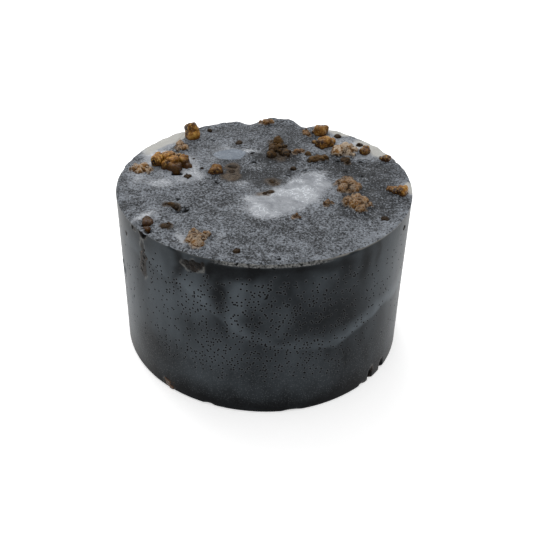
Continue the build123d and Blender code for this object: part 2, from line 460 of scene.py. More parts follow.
@dataclass(frozen=True)
class TopSoapFinish:
    """Frothy grey soap that turns to wet milky soap where the field 'milk' is high.

    Sizes that end in per_mm are the scales of its patterns, and each span is the stretch of
    values over which a pattern fades in.
    """

    name: str
    froth_dark: Colour = (0.011, 0.0125, 0.015)
    froth_light: Colour = (0.255, 0.278, 0.312)
    # Pale sparks painted on some bubbles: a painted highlight.
    spark_highlight: Colour = (0.52, 0.55, 0.60)
    milk: Colour = (0.42, 0.44, 0.47)
    milk_deep: Colour = (0.20, 0.213, 0.235)
    # Colour of the painted glints on the milky soap.
    glint: Colour = (0.74, 0.78, 0.84)
    glass: Colour = (0.42, 0.415, 0.39)
    stain: Colour = (0.016, 0.010, 0.004)
    stain_tan: Colour = (0.13, 0.068, 0.024)
    film: Colour = (0.34, 0.27, 0.20)
    # Near-black painted shade for the inside of holes and pores.
    hole: Colour = (0.002, 0.002, 0.002)
    speckles_per_mm: float = 2.0
    bubbles_per_mm: float = 1.9
    clouds_per_mm: float = 0.33
    webs_per_mm: float = 0.80
    veins_per_mm: float = 0.50
    lively_per_mm: float = 0.22
    squiggles_per_mm: float = 0.62
    ripples_per_mm: float = 0.9
    bubble_span: Span = (0.14, 0.42)
    spark_span: Span = (0.12, 0.28)
    spark_luck: Span = (0.76, 0.84)
    pore_span: Span = (0.10, 0.24)
    pore_luck: Span = (0.07, 0.11)
    vein_span: Span = (0.28, 0.68)
    lively_span: Span = (0.42, 0.62)
    squiggle_span: Span = (0.945, 0.99)
    milk_span: Span = (0.32, 0.86)
    glass_span: Span = (0.25, 0.65)
    film_span: Span = (0.85, 0.96)
    stain_span: Span = (0.30, 0.75)
    hole_span: Span = (0.20, 0.45)
    stain_cover: float = 0.88
    bump_mm: float = 0.28
    bump_share: float = 0.85
    roughness: float = 0.48
    specular: float = 0.22

    def froth(self, bench: Bench, speckle: Wire, near: Wire, milk: Wire) -> Wire:
        """Speckled froth with painted highlights (pale sparks) and painted shade (near-black pores)
        at the bubbles' middles.

        Args:
            bench: The material's bench.
            speckle: Fine noise of the froth.
            near: Distance to the nearest bubble's middle.
            milk: Share of milky soap.

        Returns:
            The froth's colour.
        """
        margin, gloom = bench.field("margin"), bench.field("gloom")
        luck = bench.cell_luck(self.bubbles_per_mm)
        cloud = bench.noise(self.clouds_per_mm, detail=3.0, roughness=0.6, offset=31.0)
        contrast = 4.6 - margin * 2.2 + gloom * 2.0
        lightness = (speckle - 0.5) * contrast + (near.step(*self.bubble_span) - 0.6) * 0.85
        lightness = lightness + 0.10 + (cloud - 0.5) * 1.4 - gloom * 0.84
        lightness = lightness + milk * 0.3 + margin * 0.16
        colour = bench.mix(lightness, self.froth_dark, self.froth_light)
        # Painted highlight: pale sparks at the middles of lucky bubbles, more in the gloomy
        # patches.
        lucky = (luck + gloom * 0.12).step(*self.spark_luck)
        bright = (1 - near.step(*self.spark_span)) * lucky
        colour = bench.mix(bright * (milk * 0.4 + 0.6), colour, self.spark_highlight)
        # Painted shade: the pores at some bubbles' middles are painted near black.
        pore = (1 - near.step(*self.pore_span)) * (1 - luck.step(*self.pore_luck))
        return bench.mix(pore, colour, self.hole)

    def milky(self, bench: Bench, veins: Wire) -> Wire:
        """Wet milky soap: veined, brighter in lively patches, with thin bright squiggles of painted
        glint.
        """
        lively = bench.noise(self.lively_per_mm, detail=1.0, offset=71.0).step(*self.lively_span)
        share = veins.step(*self.vein_span) * 0.40 + lively * 0.52
        colour = bench.mix(share, self.milk_deep, self.milk)
        # Painted highlight: thin squiggles of the glint colour, mostly in the lively patches.
        squiggle = bench.ridges(self.squiggles_per_mm, detail=2.0, roughness=0.6, offset=47.0)
        glints = squiggle.step(*self.squiggle_span) * (lively * 0.70 + 0.06)
        return bench.mix(glints, colour, self.glint)

    def stained(self, bench: Bench, veins: Wire, web: Wire) -> Wire:
        """Brown or tan stain of the resin below, with a web of dried soap film."""
        tan = bench.field("tan")
        tint = bench.mix(tan + (veins - 0.5) * 0.8, self.stain, self.stain_tan)
        return bench.mix(web.step(*self.film_span) * tan, tint, self.film)

    def build(self) -> bpy.types.Material:
        """Make the material.

        Returns:
            The finished material.
        """
        bench = Bench(self.name)
        milk, glass = bench.field("milk"), bench.field("glass")
        speckle = bench.noise(self.speckles_per_mm, detail=4.0, roughness=0.78)
        near = bench.cells(self.bubbles_per_mm)
        veins = bench.noise(self.veins_per_mm, detail=3.0, roughness=0.55, offset=19.0)
        web = bench.ridges(self.webs_per_mm, detail=3.0, roughness=0.65, offset=11.0)
        patchy = milk + (speckle - 0.5) * (1 - milk)
        colour = bench.mix(patchy.step(*self.milk_span), self.froth(bench, speckle, near, milk),
                           self.milky(bench, veins))
        clear = glass + (veins - 0.5) * 0.3
        colour = bench.mix(clear.step(*self.glass_span), colour, self.glass)
        worn = (bench.field("stain") + (speckle - 0.5) * 0.7).step(*self.stain_span)
        colour = bench.mix(worn * self.stain_cover, colour, self.stained(bench, veins, web))
        # Painted shade: the holes in the froth are painted near black.
        colour = bench.mix(bench.field("hole").step(*self.hole_span), colour, self.hole)
        calm = milk.largest(glass)
        bubble = near.step(*self.bubble_span)
        relief = (speckle + bubble * 0.25) * (1 - calm * 0.9) + web * 0.2
        ripple = bench.noise(self.ripples_per_mm, detail=2.0, roughness=0.6, offset=5.0)
        normal = bench.bump(relief + ripple * calm * 1.3, self.bump_mm, self.bump_share)
        roughness = self.roughness - calm * 0.33 + (speckle - 0.5) * 0.3
        return bench.surface(colour, roughness, normal, Specular_IOR_Level=self.specular)


@dataclass(frozen=True)
class WallSoapFinish:
    """Dark soap cast smooth against the mould, hazed, streaked and pricked with pinholes."""

    name: str
    dark: Colour = (0.0016, 0.0021, 0.0028)
    haze: Colour = (0.074, 0.088, 0.100)
    lip: Colour = (0.15, 0.16, 0.17)
    # Near-black painted shade for the inside of pinholes and pores.
    pit: Colour = (0.0008, 0.0008, 0.0008)
    rust: Colour = (0.012, 0.009, 0.007)
    rust_light: Colour = (0.13, 0.088, 0.062)
    # Colour of the painted highlight along the top edge, and of the pale outlines round the rust.
    pale: Colour = (0.24, 0.23, 0.21)
    froth_dark: Colour = (0.012, 0.013, 0.014)
    froth_light: Colour = (0.19, 0.19, 0.185)
    clouds_per_mm: float = 0.16
    grit_per_mm: float = 2.2
    dots_per_mm: float = 2.5
    holes_per_mm: float = 1.25
    dot_span: Span = (0.12, 0.40)
    hole_span: Span = (0.14, 0.25)
    lip_span: Span = (0.24, 0.42)
    depth_span: Span = (0.30, 0.33)
    luck_span: Span = (0.0, 0.05)
    pore_span: Span = (0.35, 0.65)
    mist_share: float = 0.20
    lip_share: float = 0.16
    rust_share: float = 0.9
    pit_share: float = 0.97
    bump_mm: float = 0.20
    bump_share: float = 0.8
    roughness: float = 0.34
    specular: float = 0.055

    def build(self) -> bpy.types.Material:
        """Make the material.

        Returns:
            The finished material.
        """
        bench = Bench(self.name)
        cloud = bench.noise(self.clouds_per_mm, detail=4.0, roughness=0.6)
        fine = bench.noise(self.grit_per_mm, detail=2.0, roughness=0.6, offset=17.0)
        haze = bench.field("haze") + (cloud - 0.5) * 0.28 + (fine - 0.5) * 0.10
        colour = bench.mix(haze, self.dark, self.haze)
        mist = (1 - bench.cells(self.dots_per_mm).step(*self.dot_span)) * bench.field("dots")
        colour = bench.mix(mist * self.mist_share, colour, self.lip)
        chance = bench.field("holes") - bench.cell_luck(self.holes_per_mm)
        near, depth = bench.pinholes(self.holes_per_mm)
        crowd = chance.step(*self.luck_span) * (1 - depth.step(*self.depth_span))
        lip = (1 - near.step(*self.lip_span)) * crowd
        colour = bench.mix(lip * self.lip_share, colour, self.lip)
        # Painted shade: the pinholes are painted near black.
        hole = (1 - near.step(*self.hole_span)) * crowd
        colour = bench.mix(hole * self.pit_share, colour, self.pit)
        crumbs = bench.mix((fine - 0.62) * 8.0, self.rust, self.rust_light)
        colour = bench.mix(bench.field("rust") * self.rust_share, colour, crumbs)
        # Painted highlight along the top edge, with the pale outlines round the rust.
        colour = bench.mix(bench.field("pale"), colour, self.pale)
        foam = bench.mix((fine - 0.5) * 3.6 + 0.5, self.froth_dark, self.froth_light)
        colour = bench.mix(bench.field("froth"), colour, foam)
        # Painted shade: the pores are painted near black.
        pit = bench.field("pit").step(*self.pore_span)
        colour = bench.mix(pit * self.pit_share, colour, self.pit)
        relief = fine * 0.10 - hole - pit + mist * 0.15 + bench.field("froth") * fine
        normal = bench.bump(relief, self.bump_mm, self.bump_share)
        roughness = self.roughness + (cloud - 0.5) * 0.16 + hole * 0.4
        return bench.surface(colour, roughness, normal, Specular_IOR_Level=self.specular)


@dataclass(frozen=True)
class ResinFinish:
    """Resin with a web of dried soap film, and painted shade in its creases and low down where its
    dark field is high.
    """

    name: str
    # Dark resin tone, also painted into the creases and low parts as shade.
    dark_tone_and_shade: Colour
    body: Colour
    # Paler resin, also laid on as painted highlights.
    light: Colour
    film_share: float
    film: Colour = (0.46, 0.37, 0.275)
    gloss: float = 0.38
    sheen: float = 0.20
    broad_per_mm: float = 0.45
    flecks_per_mm: float = 1.9
    webs_per_mm: float = 0.75
    body_span: Span = (0.36, 0.56)
    light_span: Span = (0.54, 0.68)
    fleck_span: Span = (0.50, 0.68)
    light_share: float = 0.45
    fleck_share: float = 0.85
    crack_share: float = 0.95
    bump_mm: float = 0.34
    bump_share: float = 0.9

    def build(self) -> bpy.types.Material:
        """Make the material.

        Returns:
            The finished material.
        """
        bench = Bench(self.name)
        broad = bench.noise(self.broad_per_mm, detail=3.0, roughness=0.6)
        fine = bench.noise(self.flecks_per_mm, detail=3.0, roughness=0.65, offset=9.0)
        crease_shade_and_dullness = bench.field("dark_tone_and_shade")
        colour = bench.mix(broad.step(*self.body_span), self.dark_tone_and_shade, self.body)
        # Paler patches and flecks: partly paler resin, partly painted highlight.
        colour = bench.mix(broad.step(*self.light_span) * self.light_share, colour, self.light)
        colour = bench.mix(fine.step(*self.fleck_span) * self.fleck_share, colour, self.light)
        # Painted shade in the creases and low on the lumps, plus darker dull resin, where the field
        # is high.
        colour = bench.mix((crease_shade_and_dullness + (fine - 0.5) * 0.5) * self.crack_share, colour, self.dark_tone_and_shade)
        web = bench.ridges(self.webs_per_mm, detail=3.0, roughness=0.7, offset=23.0)
        edge = 0.98 - 0.14 * self.film_share
        filmed = web.step(edge - 0.03, edge + 0.05) * self.film_share
        colour = bench.mix(filmed, colour, self.film)
        normal = bench.bump(fine + broad * 0.6 + filmed * 0.3, self.bump_mm, self.bump_share)
        roughness = self.gloss + filmed * 0.15 + (fine - 0.5) * 0.25
        return bench.surface(colour, roughness, normal, Specular_IOR_Level=self.sheen)


class Resin(Enum):
    """The kinds of resin, each by the name of its material slot."""

    AMBER = "amber_resin"
    TAN = "tan_resin"
    BROWN = "brown_resin"
    RUST = "rust_resin"

    def finish(self) -> ResinFinish:
        """The finish of this kind of resin."""
        finishes = {
            Resin.AMBER: ResinFinish("resin_amber", (0.026, 0.008, 0.001), (0.235, 0.092, 0.007),
                                     (0.66, 0.38, 0.08), 0.0, gloss=0.20, sheen=0.22),
            Resin.TAN: ResinFinish("resin_tan", (0.032, 0.013, 0.003), (0.185, 0.080, 0.015),
                                   (0.40, 0.22, 0.072), 0.22, gloss=0.30),
            Resin.BROWN: ResinFinish("resin_brown", (0.009, 0.005, 0.002), (0.068, 0.033, 0.008),
                                     (0.18, 0.10, 0.030), 0.06, sheen=0.10),
            Resin.RUST: ResinFinish("resin_rust", (0.002, 0.0015, 0.001), (0.012, 0.007, 0.005),
                                    (0.11, 0.072, 0.052), 0.0, gloss=0.5, sheen=0.1),
        }
        return finishes[self]

    def tone(self) -> float:
        """How pale and warm the soap over such a grain looks: 0 brown, 1 tan."""
        return {Resin.AMBER: 0.75, Resin.TAN: 0.9, Resin.BROWN: 0.15, Resin.RUST: 0.1}[self]


# ---- The puck's measures, from the frame -----------------------------------

@dataclass(frozen=True)
class PuckSize:
    """Driving sizes of the puck in mm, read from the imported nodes."""

    radius: float
    top: float
    crust_floor: float

    @staticmethod
    def from_frame() -> "PuckSize":
        """Read the crust's box."""
        low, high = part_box("froth_crust")
        return PuckSize(high.x / MM, high.z / MM, low.z / MM)


def node_spot(node: str) -> tuple[float, float]:
    """Centre of a node's box seen from above, in mm."""
    low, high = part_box(node)
    return (low.x + high.x) / 2 / MM, (low.y + high.y) / 2 / MM


def wall_angle(points: Array) -> Array:
    """Angle round the wall in degrees, 0 at the front and growing towards +X."""
    return np.degrees(np.arctan2(points[..., 0], -points[..., 1]))


# ---- What lies where on the top face ---------------------------------------

@dataclass(frozen=True)
class Dome:
    """Soap raised and tinted over one lump of resin."""

    x: float
    y: float
    radius: float
    height: float
    tint: float
    tone: float

    def over(self, x: Array, y: Array) -> Array:
        """Share of the dome at a place: exp(-d^4), d being the distance in radii."""
        squared = ((x - self.x) ** 2 + (y - self.y) ** 2) / self.radius ** 2
        return np.exp(-squared ** 2)


@dataclass
class TopFace:
    """Relief and colour fields of the top face, shared by the crust and its pools."""

    size: PuckSize
    milk_spots: Sequence[Blob] = blobs(
        (9.5, -3.0, 6.0, 5.4, 60), (1.8, -10.6, 6.8, 4.6, 12), (5.5, -7.0, 8.5, 5.0, 42),
        (-3.0, -7.2, 2.4, 1.6, 20, 0.75), (10.0, 3.4, 5.0, 2.2, 10, 0.6),
        (-3.5, -2.5, 2.0, 3.0, 30, 0.35), (-22.0, -1.6, 4.8, 2.0, -8, 0.58),
        (-28.0, 1.5, 2.4, 5.0, 10, 0.5), (-16.0, 1.5, 3.2, 2.6, 30, 0.6),
        (-18.0, 8.0, 2.6, 4.5, 0, 0.6), (-25.5, 10.5, 4.0, 5.2, 20, 0.75),
        (-22.5, 19.8, 3.6, 5.2, -42), (-26.5, 14.5, 3.0, 3.4, 40, 0.8),
        (25.0, 16.8, 4.2, 5.4, 40), (17.5, 25.6, 3.6, 2.6, -40, 0.95),
        (15.0, 22.0, 3.0, 3.2, 0, 0.45), (20.0, 14.0, 5.0, 2.4, -20, 0.55),
        (30.4, -2.0, 1.3, 3.0, 0, 0.95), (-9.0, 12.4, 3.6, 2.8, 0, 0.34),
        (-2.5, 14.0, 2.6, 1.6, 20, 0.45), (-7.0, 16.0, 4.5, 1.2, -10, 0.35),
        (3.5, 8.0, 3.0, 1.6, 60, 0.3), (-13.5, -22.5, 3.0, 4.0, 0, 0.45),
        (-23.0, -15.0, 1.8, 2.6, 20, 0.5), (21.0, -13.5, 2.6, 1.4, 0, 0.35),
        (25.0, -20.0, 3.0, 6.5, -40, 0.25), (-20.5, 5.0, 7.5, 6.5, 0, 0.50),
        (17.0, 18.5, 6.5, 4.5, 20, 0.55), (-1.5, 8.0, 2.6, 1.2, 30, 0.42),
        (3.5, 16.5, 2.5, 1.2, -20, 0.42), (8.5, 12.5, 1.2, 2.4, 0, 0.40),
        (-12.0, 9.0, 1.2, 2.8, 30, 0.38), (-4.5, 14.6, 3.2, 1.4, 15, 0.50),
        (-10.0, 15.4, 3.4, 1.3, 5, 0.42), (-5.0, -0.5, 3.0, 1.3, 25, 0.40),
        (10.0, 7.2, 4.5, 1.2, 8, 0.45), (20.5, 1.5, 4.0, 1.2, 20, 0.34),
        (24.5, 7.5, 4.0, 1.6, 20, 0.38), (-15.5, -24.0, 1.2, 3.5, 20, 0.7),
        (-8.5, -23.5, 1.0, 3.0, 0, 0.5), (-25.0, -16.5, 1.0, 3.0, -30, 0.6),
        (22.5, -6.5, 1.0, 4.0, 0, 0.35),
    )
    gloom_spots: Sequence[Blob] = blobs(
        (1.0, 2.5, 4.5, 5.0, 20, 0.95), (-7.0, 4.0, 4.0, 5.5, 0, 0.75),
        (20.0, 6.5, 9.0, 5.0, 10, 0.75), (24.0, -4.0, 5.0, 9.0, 0, 0.55),
        (3.0, 13.0, 5.0, 7.0, 0, 0.90), (0.0, -19.0, 14.0, 4.0, 0, 0.15),
        (20.0, -10.0, 4.5, 6.0, 0, 0.45), (-3.0, 26.0, 9.0, 4.0, 0, 0.30),
        (-10.0, -8.0, 6.0, 4.0, 20, 0.25), (8.0, 24.0, 6.0, 4.0, 0, 0.35),
    )
    glass_spots: Sequence[Blob] = blobs(
        (-23.5, 19.6, 2.9, 6.8, -50), (-26.5, 14.0, 1.6, 3.4, -30, 0.6),
        (25.6, 16.6, 3.2, 6.4, 35), (18.0, 25.9, 3.6, 2.4, -35, 0.95),
        (30.9, -2.0, 1.2, 2.6, 0, 0.95),
    )
    stain_spots: Sequence[Blob] = blobs(
        (-7.2, 6.3, 2.3, 2.5), (-7.4, 1.7, 2.7, 2.7), (1.6, 0.2, 2.5, 2.8, 0, 0.85),
        (0.2, -5.6, 2.8, 1.5, 12), (3.2, 12.5, 3.6, 3.2, 0, 0.9), (2.2, 18.5, 2.2, 3.4, 0, 0.9),
        (7.3, 14.8, 1.8, 1.6, 0, 0.8), (11.8, 10.6, 3.0, 2.2, 20, 0.7),
        (-6.2, 18.5, 1.8, 1.6, 0, 0.6), (6.3, 6.0, 1.6, 1.6, 0, 0.55),
        (-13.5, 25.0, 1.8, 1.2, 0, 0.5), (-19.0, 15.5, 2.0, 2.6, 20, 0.5),
        (17.6, -2.0, 3.0, 4.4, 0, 0.6), (19.2, -8.6, 3.0, 4.0, 0, 0.55),
        (18.0, 16.0, 4.0, 3.0, 0, 0.5), (13.5, 20.0, 3.0, 3.4, 0, 0.6),
        (-26.5, 4.0, 3.2, 2.2, 0, 0.45), (-19.2, -11.2, 2.4, 1.2, -10, 0.85),
        (-19.0, -19.6, 1.8, 1.5, 0, 0.6), (-12.6, -24.2, 2.4, 3.6, 0, 0.5),
        (-23.0, -17.2, 1.6, 2.0, 0, 0.7), (-5.0, -28.0, 0.9, 1.3, 0, 0.8),
        (24.5, -14.8, 0.9, 0.9, 0, 0.7), (13.0, -9.3, 1.6, 1.2, 0, 0.6),
    )
    hole_spots: Sequence[Blob] = blobs(
        (-10.3, -1.0, 0.55, 0.45), (-3.0, 14.0, 0.75, 0.45, 40), (-2.5, 9.2, 0.6, 0.4),
        (16.7, 10.5, 0.6, 0.5), (21.7, 10.4, 0.55, 0.45), (18.0, 5.2, 0.4, 0.3),
        (21.3, 3.2, 0.35, 0.3), (-17.0, -13.0, 0.75, 0.55), (-17.8, -8.5, 0.35, 0.3),
        (-23.4, -18.1, 0.8, 0.6), (-22.5, -20.7, 0.6, 0.5), (-15.8, -12.2, 0.5, 0.4),
        (-19.2, 2.6, 1.3, 0.6, 10), (5.2, 3.0, 0.4, 0.3), (-12.3, 20.0, 0.3, 0.3),
        (3.0, -29.8, 0.5, 0.3), (9.0, 5.5, 0.4, 0.3),
    )
    dip_spots: Sequence[Blob] = blobs(
        (-17.0, -12.6, 1.6, 1.2, 0, 0.7), (-23.2, -17.6, 1.6, 2.0, 0, 0.8),
        (-22.5, -20.6, 1.1, 1.0, 0, 0.6), (-1.0, 3.5, 5.0, 3.5, 20, 0.35),
        (3.0, 13.0, 4.0, 5.5, 0, 0.3),
    )
    domes: Sequence[Dome] = ()
    rim_humps: Sequence[tuple[float, float, float, int]] = (
        (3.5, 3.6, 0.9, 4), (-4.0, 2.0, -1.0, 2), (9.6, 1.6, -0.9, 2), (-10.0, 3.0, 0.2, 2),
    )
    wander: Span = (1.6, 3.2)
    rag: Span = (0.6, 1.2)
    tremor: Span = (0.15, 0.5)
    glass_rag: Span = (0.8, 3.0)
    dip_rag: Span = (0.4, 1.5)
    dome_rag: Span = (0.35, 0.9)
    stain_share: float = 0.8
    wave_mm: float = 0.16
    froth_mm: float = 0.14
    grit_mm: float = 0.08
    hole_mm: float = 0.8
    rim_rag_mm: float = 0.35

    def __post_init__(self) -> None:
        """Prepare the random lattices."""
        self.broad = Rumple(11)
        self.warp_x = Rumple(12)
        self.warp_y = Rumple(13)
        self.fine = Rumple(14)

    def warped(self, x: Array, y: Array, warp: Span) -> tuple[Array, Array]:
        """Places nudged by noise, so that spots get wandering outlines.

        Args:
            x: Places across the puck in mm.
            y: Places from front to back in mm.
            warp: Reach of the nudge and cell of its noise, in mm.

        Returns:
            The nudged places.
        """
        reach, cell = warp
        flat = np.stack([x, y, np.zeros_like(x)], axis=-1)
        shift_x = reach * self.warp_x.layered(flat, cell, 3)
        shift_y = reach * self.warp_y.layered(flat, cell, 3)
        return x + shift_x, y + shift_y

    def fields(self, points: Array) -> Fields:
        """Colour fields of the top face.

        Args:
            points: Places in mm, shaped (..., 3).

        Returns:
            Values from 0 to 1 for milk, glass, gloom, stain, tan, hole and margin.
        """
        x, y = points[..., 0], points[..., 1]
        wandering = self.warped(x, y, self.wander)
        ragged = self.warped(x, y, self.rag)
        slight = self.warped(x, y, self.tremor)
        stain = self.stain_share * blend_blobs(self.stain_spots, *ragged)
        tan = 0.25 * stain
        for dome in self.domes:
            cover = dome.tint * dome.over(*ragged)
            tan = np.where(cover > stain, dome.tone, tan)
            stain = np.maximum(stain, cover)
        return {
            "milk": blend_blobs(self.milk_spots, *wandering),
            "glass": blend_blobs(self.glass_spots, *self.warped(x, y, self.glass_rag)),
            "gloom": blend_blobs(self.gloom_spots, *wandering),
            "stain": stain,
            "tan": tan,
            "hole": blend_blobs(self.hole_spots, *slight),
            "margin": self.margin(points),
        }

    def margin(self, points: Array) -> Array:
        """Smoother, paler strip along the front right of the rim, from 0 to 1."""
        inwards = self.size.radius - np.hypot(points[..., 0], points[..., 1])
        angle = wall_angle(points)
        stretch = smooth_step(-6.0, 22.0, angle) * (1.0 - smooth_step(55.0, 80.0, angle))
        width = 1.0 + 2.4 * smooth_step(10.0, 45.0, angle)
        ragged = 0.5 * self.fine.layered(points, 1.6, 2)
        return stretch * (1.0 - smooth_step(0.3, 1.0, (inwards + ragged) / width))

    def relief(self, x: Array, y: Array) -> Array:
        """Height of the surface over the nominal top face, in mm.

        It is broad waviness, plus bubbling that is weaker in the milky pools, plus the domes over
        the resin, less the dips and holes, and it rises and sinks along the worn rim.
        """
        flat = np.stack([x, y, np.zeros_like(x)], axis=-1)
        fields = self.fields(flat)
        height = self.wave_mm * self.broad.layered(flat, 9.0, 3)
        froth = self.froth_mm * self.fine.layered(flat, 1.5, 2)
        height += froth * (1.0 - 0.7 * fields["milk"])
        grit = self.grit_mm * self.fine.value(flat + 5.0, 0.7)
        height += grit * (1.0 - 0.9 * fields["milk"])
        height -= blend_blobs(self.dip_spots, *self.warped(x, y, self.dip_rag))
        height -= self.hole_mm * fields["hole"]
        lift = np.zeros_like(height)
        nudged = self.warped(x, y, self.dome_rag)
        for dome in self.domes:
            lift = np.maximum(lift, dome.height * dome.over(*nudged))
        return height + lift + self.rim_change(x, y)

    def rim_change(self, x: Array, y: Array) -> Array:
        """Change of height near the back of the rim: humps and notches, roughened by noise."""
        inwards = self.size.radius - np.hypot(x, y)
        near = np.exp(-(np.clip(inwards, 0.0, None) / 1.8) ** 2)
        back = smooth_step(0.0, 6.0, y)
        humps = sum(high * np.exp(-((x - middle) / half) ** power)
                    for middle, half, high, power in self.rim_humps)
        place = np.stack([x, y, 0 * x + 9.0], axis=-1)
        ragged = self.rim_rag_mm * self.fine.layered(place, 2.2, 2)
        return near * back * (humps + ragged)


# ---- Crust and pools -------------------------------------------------------

@dataclass
class FrothCrust:
    """Top layer: a disc of froth with its short wall down to the upper pour."""

    size: PuckSize
    face: TopFace
    look: "WallLook"
    cells_across: int = 250
    wall_rows: int = 9
    rim_rounding: float = 0.22
    rim_reach: float = 0.25

    def disc(self) -> Array:
        """Square grid bent into a disc, so that its cells stay even.

        A point (a, b) of the square goes to radius max(|a|, |b|), at an angle of 45 degrees
        times the smaller over the larger, from the axis of the larger.
        """
        steps = np.linspace(-1.0, 1.0, self.cells_across + 1)
        a, b = np.meshgrid(steps, steps, indexing="ij")
        wide = np.abs(a) >= np.abs(b)
        larger = np.where(wide, a, b)
        smaller = np.where(wide, b, a)
        ratio = np.divide(smaller, larger, out=np.zeros_like(larger), where=larger != 0)
        angle = ratio * math.pi / 4
        x = larger * np.where(wide, np.cos(angle), np.sin(angle))
        y = larger * np.where(wide, np.sin(angle), np.cos(angle))
        return np.stack([x, y], axis=-1) * self.size.radius

    def top_points(self) -> Array:
        """Disc points lifted to the relief, with the rim's edge rounded off."""
        flat = self.disc()
        x, y = flat[..., 0], flat[..., 1]
        inwards = self.size.radius - np.hypot(x, y)
        rounding = self.rim_rounding * np.exp(-(inwards / self.rim_reach) ** 2)
        z = self.size.top + self.face.relief(x, y) - rounding
        return np.stack([x, y, z], axis=-1)

    @staticmethod
    def border(table: Array) -> Array:
        """Entries round the edge of a square table, in order."""
        return np.concatenate([table[0, :-1], table[:-1, -1], table[-1, :0:-1], table[:0:-1, 0]])

    def make(self) -> bpy.types.Object:
        """Build and dress the crust.

        Returns:
            The finished piece.
        """
        draft = MeshDraft()
        top = self.top_points()
        numbers = draft.add(top)
        draft.weave(numbers, closed=False)
        edge = self.border(top)
        share = np.linspace(0.0, 1.0, self.wall_rows + 1)[1:, None]
        z = edge[None, :, 2] * (1 - share) + self.size.crust_floor * share
        angle = wall_angle(edge)[None, :]
        reach = self.size.radius + self.look.mould.bulge(angle, z)
        out = reach / np.hypot(edge[:, 0], edge[:, 1])[None, :]
        wall = np.stack([edge[None, :, 0] * out, edge[None, :, 1] * out, z], axis=-1)
        rows = draft.add(wall)
        draft.weave(np.vstack([self.border(numbers)[None, :], rows]), closed=True, finish=1)
        pole = draft.add(np.array([[0.0, 0.0, self.size.crust_floor]]))
        draft.fan(rows[-1], pole[0], finish=1)
        points = draft.all_points()
        fields = self.face.fields(points) | self.look.fields(points)
        piece = draft.make("froth_crust_top", fields, crease=50.0)
        piece.data.materials.append(TopSoapFinish("soap_froth").build())
        piece.data.materials.append(WallSoapFinish("soap_froth_side").build())
        settle(piece, ["froth_crust"], "froth_soap")
        return piece


@dataclass
class MilkPool:
    """Half-clear soap inlaid in the crust: a shallow lens whose edge dips under the froth."""

    node: str
    face: TopFace
    size: PuckSize
    outline: Sequence[tuple[float, float]]
    slot: str = "white_soap"
    calm: float = 0.0
    swell: float = 0.10
    depth: float = 1.0
    rings: int = 40
    round_steps: int = 180
    rim_gap: float = 0.35
    edge_dip: float = 0.35
    foot_share: float = 0.96

    def finish(self) -> TopSoapFinish:
        """Milky finish, or a darker blue-grey one for the calm patch."""
        name = "soap_" + self.node
        if self.calm == 0.0:
            return TopSoapFinish(name)
        # The calm patch has darker milk and dimmer painted glints.
        return TopSoapFinish(name, milk=(0.165, 0.195, 0.235), milk_deep=(0.12, 0.145, 0.18),
                             glint=(0.24, 0.27, 0.31))

    def edge(self) -> Array:
        """Closed smooth outline through the pool's corner points, by a periodic blend.

        Between two corners the curve is a Catmull-Rom cubic of the four nearest corners.
        """
        corners = np.array(self.outline) * self.size.radius
        position = np.linspace(0.0, len(corners), self.round_steps, endpoint=False)
        index = np.floor(position).astype(int)
        t = (position - index)[:, None]
        before, start = corners[(index - 1) % len(corners)], corners[index]
        end, after = corners[(index + 1) % len(corners)], corners[(index + 2) % len(corners)]
        curve = 2 * start + (end - before) * t
        curve = curve + (2 * before - 5 * start + 4 * end - after) * t ** 2
        curve = curve + (3 * start - before - 3 * end + after) * t ** 3
        curve = curve / 2
        reach = np.hypot(curve[:, 0], curve[:, 1])
        limit = self.size.radius - self.rim_gap
        return curve * np.minimum(1.0, limit / reach)[:, None]

    def make(self) -> bpy.types.Object:
        """Build and dress the pool.

        Returns:
            The finished piece.
        """
        draft = MeshDraft()
        edge = self.edge()
        centre = edge.mean(axis=0)
        share = np.linspace(1.0, 0.0, self.rings, endpoint=False)[:, None, None]
        flat = centre + (edge - centre) * share
        x, y = flat[..., 0], flat[..., 1]
        lift = self.swell - self.edge_dip * smooth_step(0.80, 1.0, share[..., 0])
        z = self.size.top + self.face.relief(x, y) + lift
        top = np.stack([x, y, z], axis=-1)
        under = top[:1].copy()
        under[..., :2] = centre + (edge - centre) * self.foot_share
        under[..., 2] = self.size.top - self.depth
        rings = np.concatenate([under, top])
        low_pole = np.array([*centre, self.size.top - self.depth])
        peak = self.size.top + self.face.relief(*[np.array([c]) for c in centre])[0] + self.swell
        draft.capped_rings(rings, low_pole, np.array([*centre, peak]))
        fields = self.face.fields(draft.all_points())
        middle = np.concatenate([np.zeros((1,) + share.shape[1:2]), 1.0 - share[..., 0]])
        inside = np.repeat(smooth_step(0.02, 0.30, middle), self.round_steps, axis=1)
        inside = np.append(inside.ravel(), (1.0, 1.0))
        fields["milk"] = np.maximum(fields["milk"], self.calm * inside)
        piece = draft.make(self.node + "_soap", fields)
        piece.data.materials.append(self.finish().build())
        settle(piece, [self.node], self.slot)
        return piece


# ---- The wall of the puck --------------------------------------------------

@dataclass(frozen=True)
class EdgeChip:
    """Bite out of one of the wall's edges: angle, height, half sizes in degrees and mm, depth."""

    angle: float
    z: float
    wide: float
    high: float
    depth: float

    def over(self, angle: Array, z: Array) -> Array:
        """Share of the bite at a place: exp(-d^4), d being the distance in half sizes."""
        squared = ((angle - self.angle) / self.wide) ** 2 + ((z - self.z) / self.high) ** 2
        return np.exp(-squared ** 2)


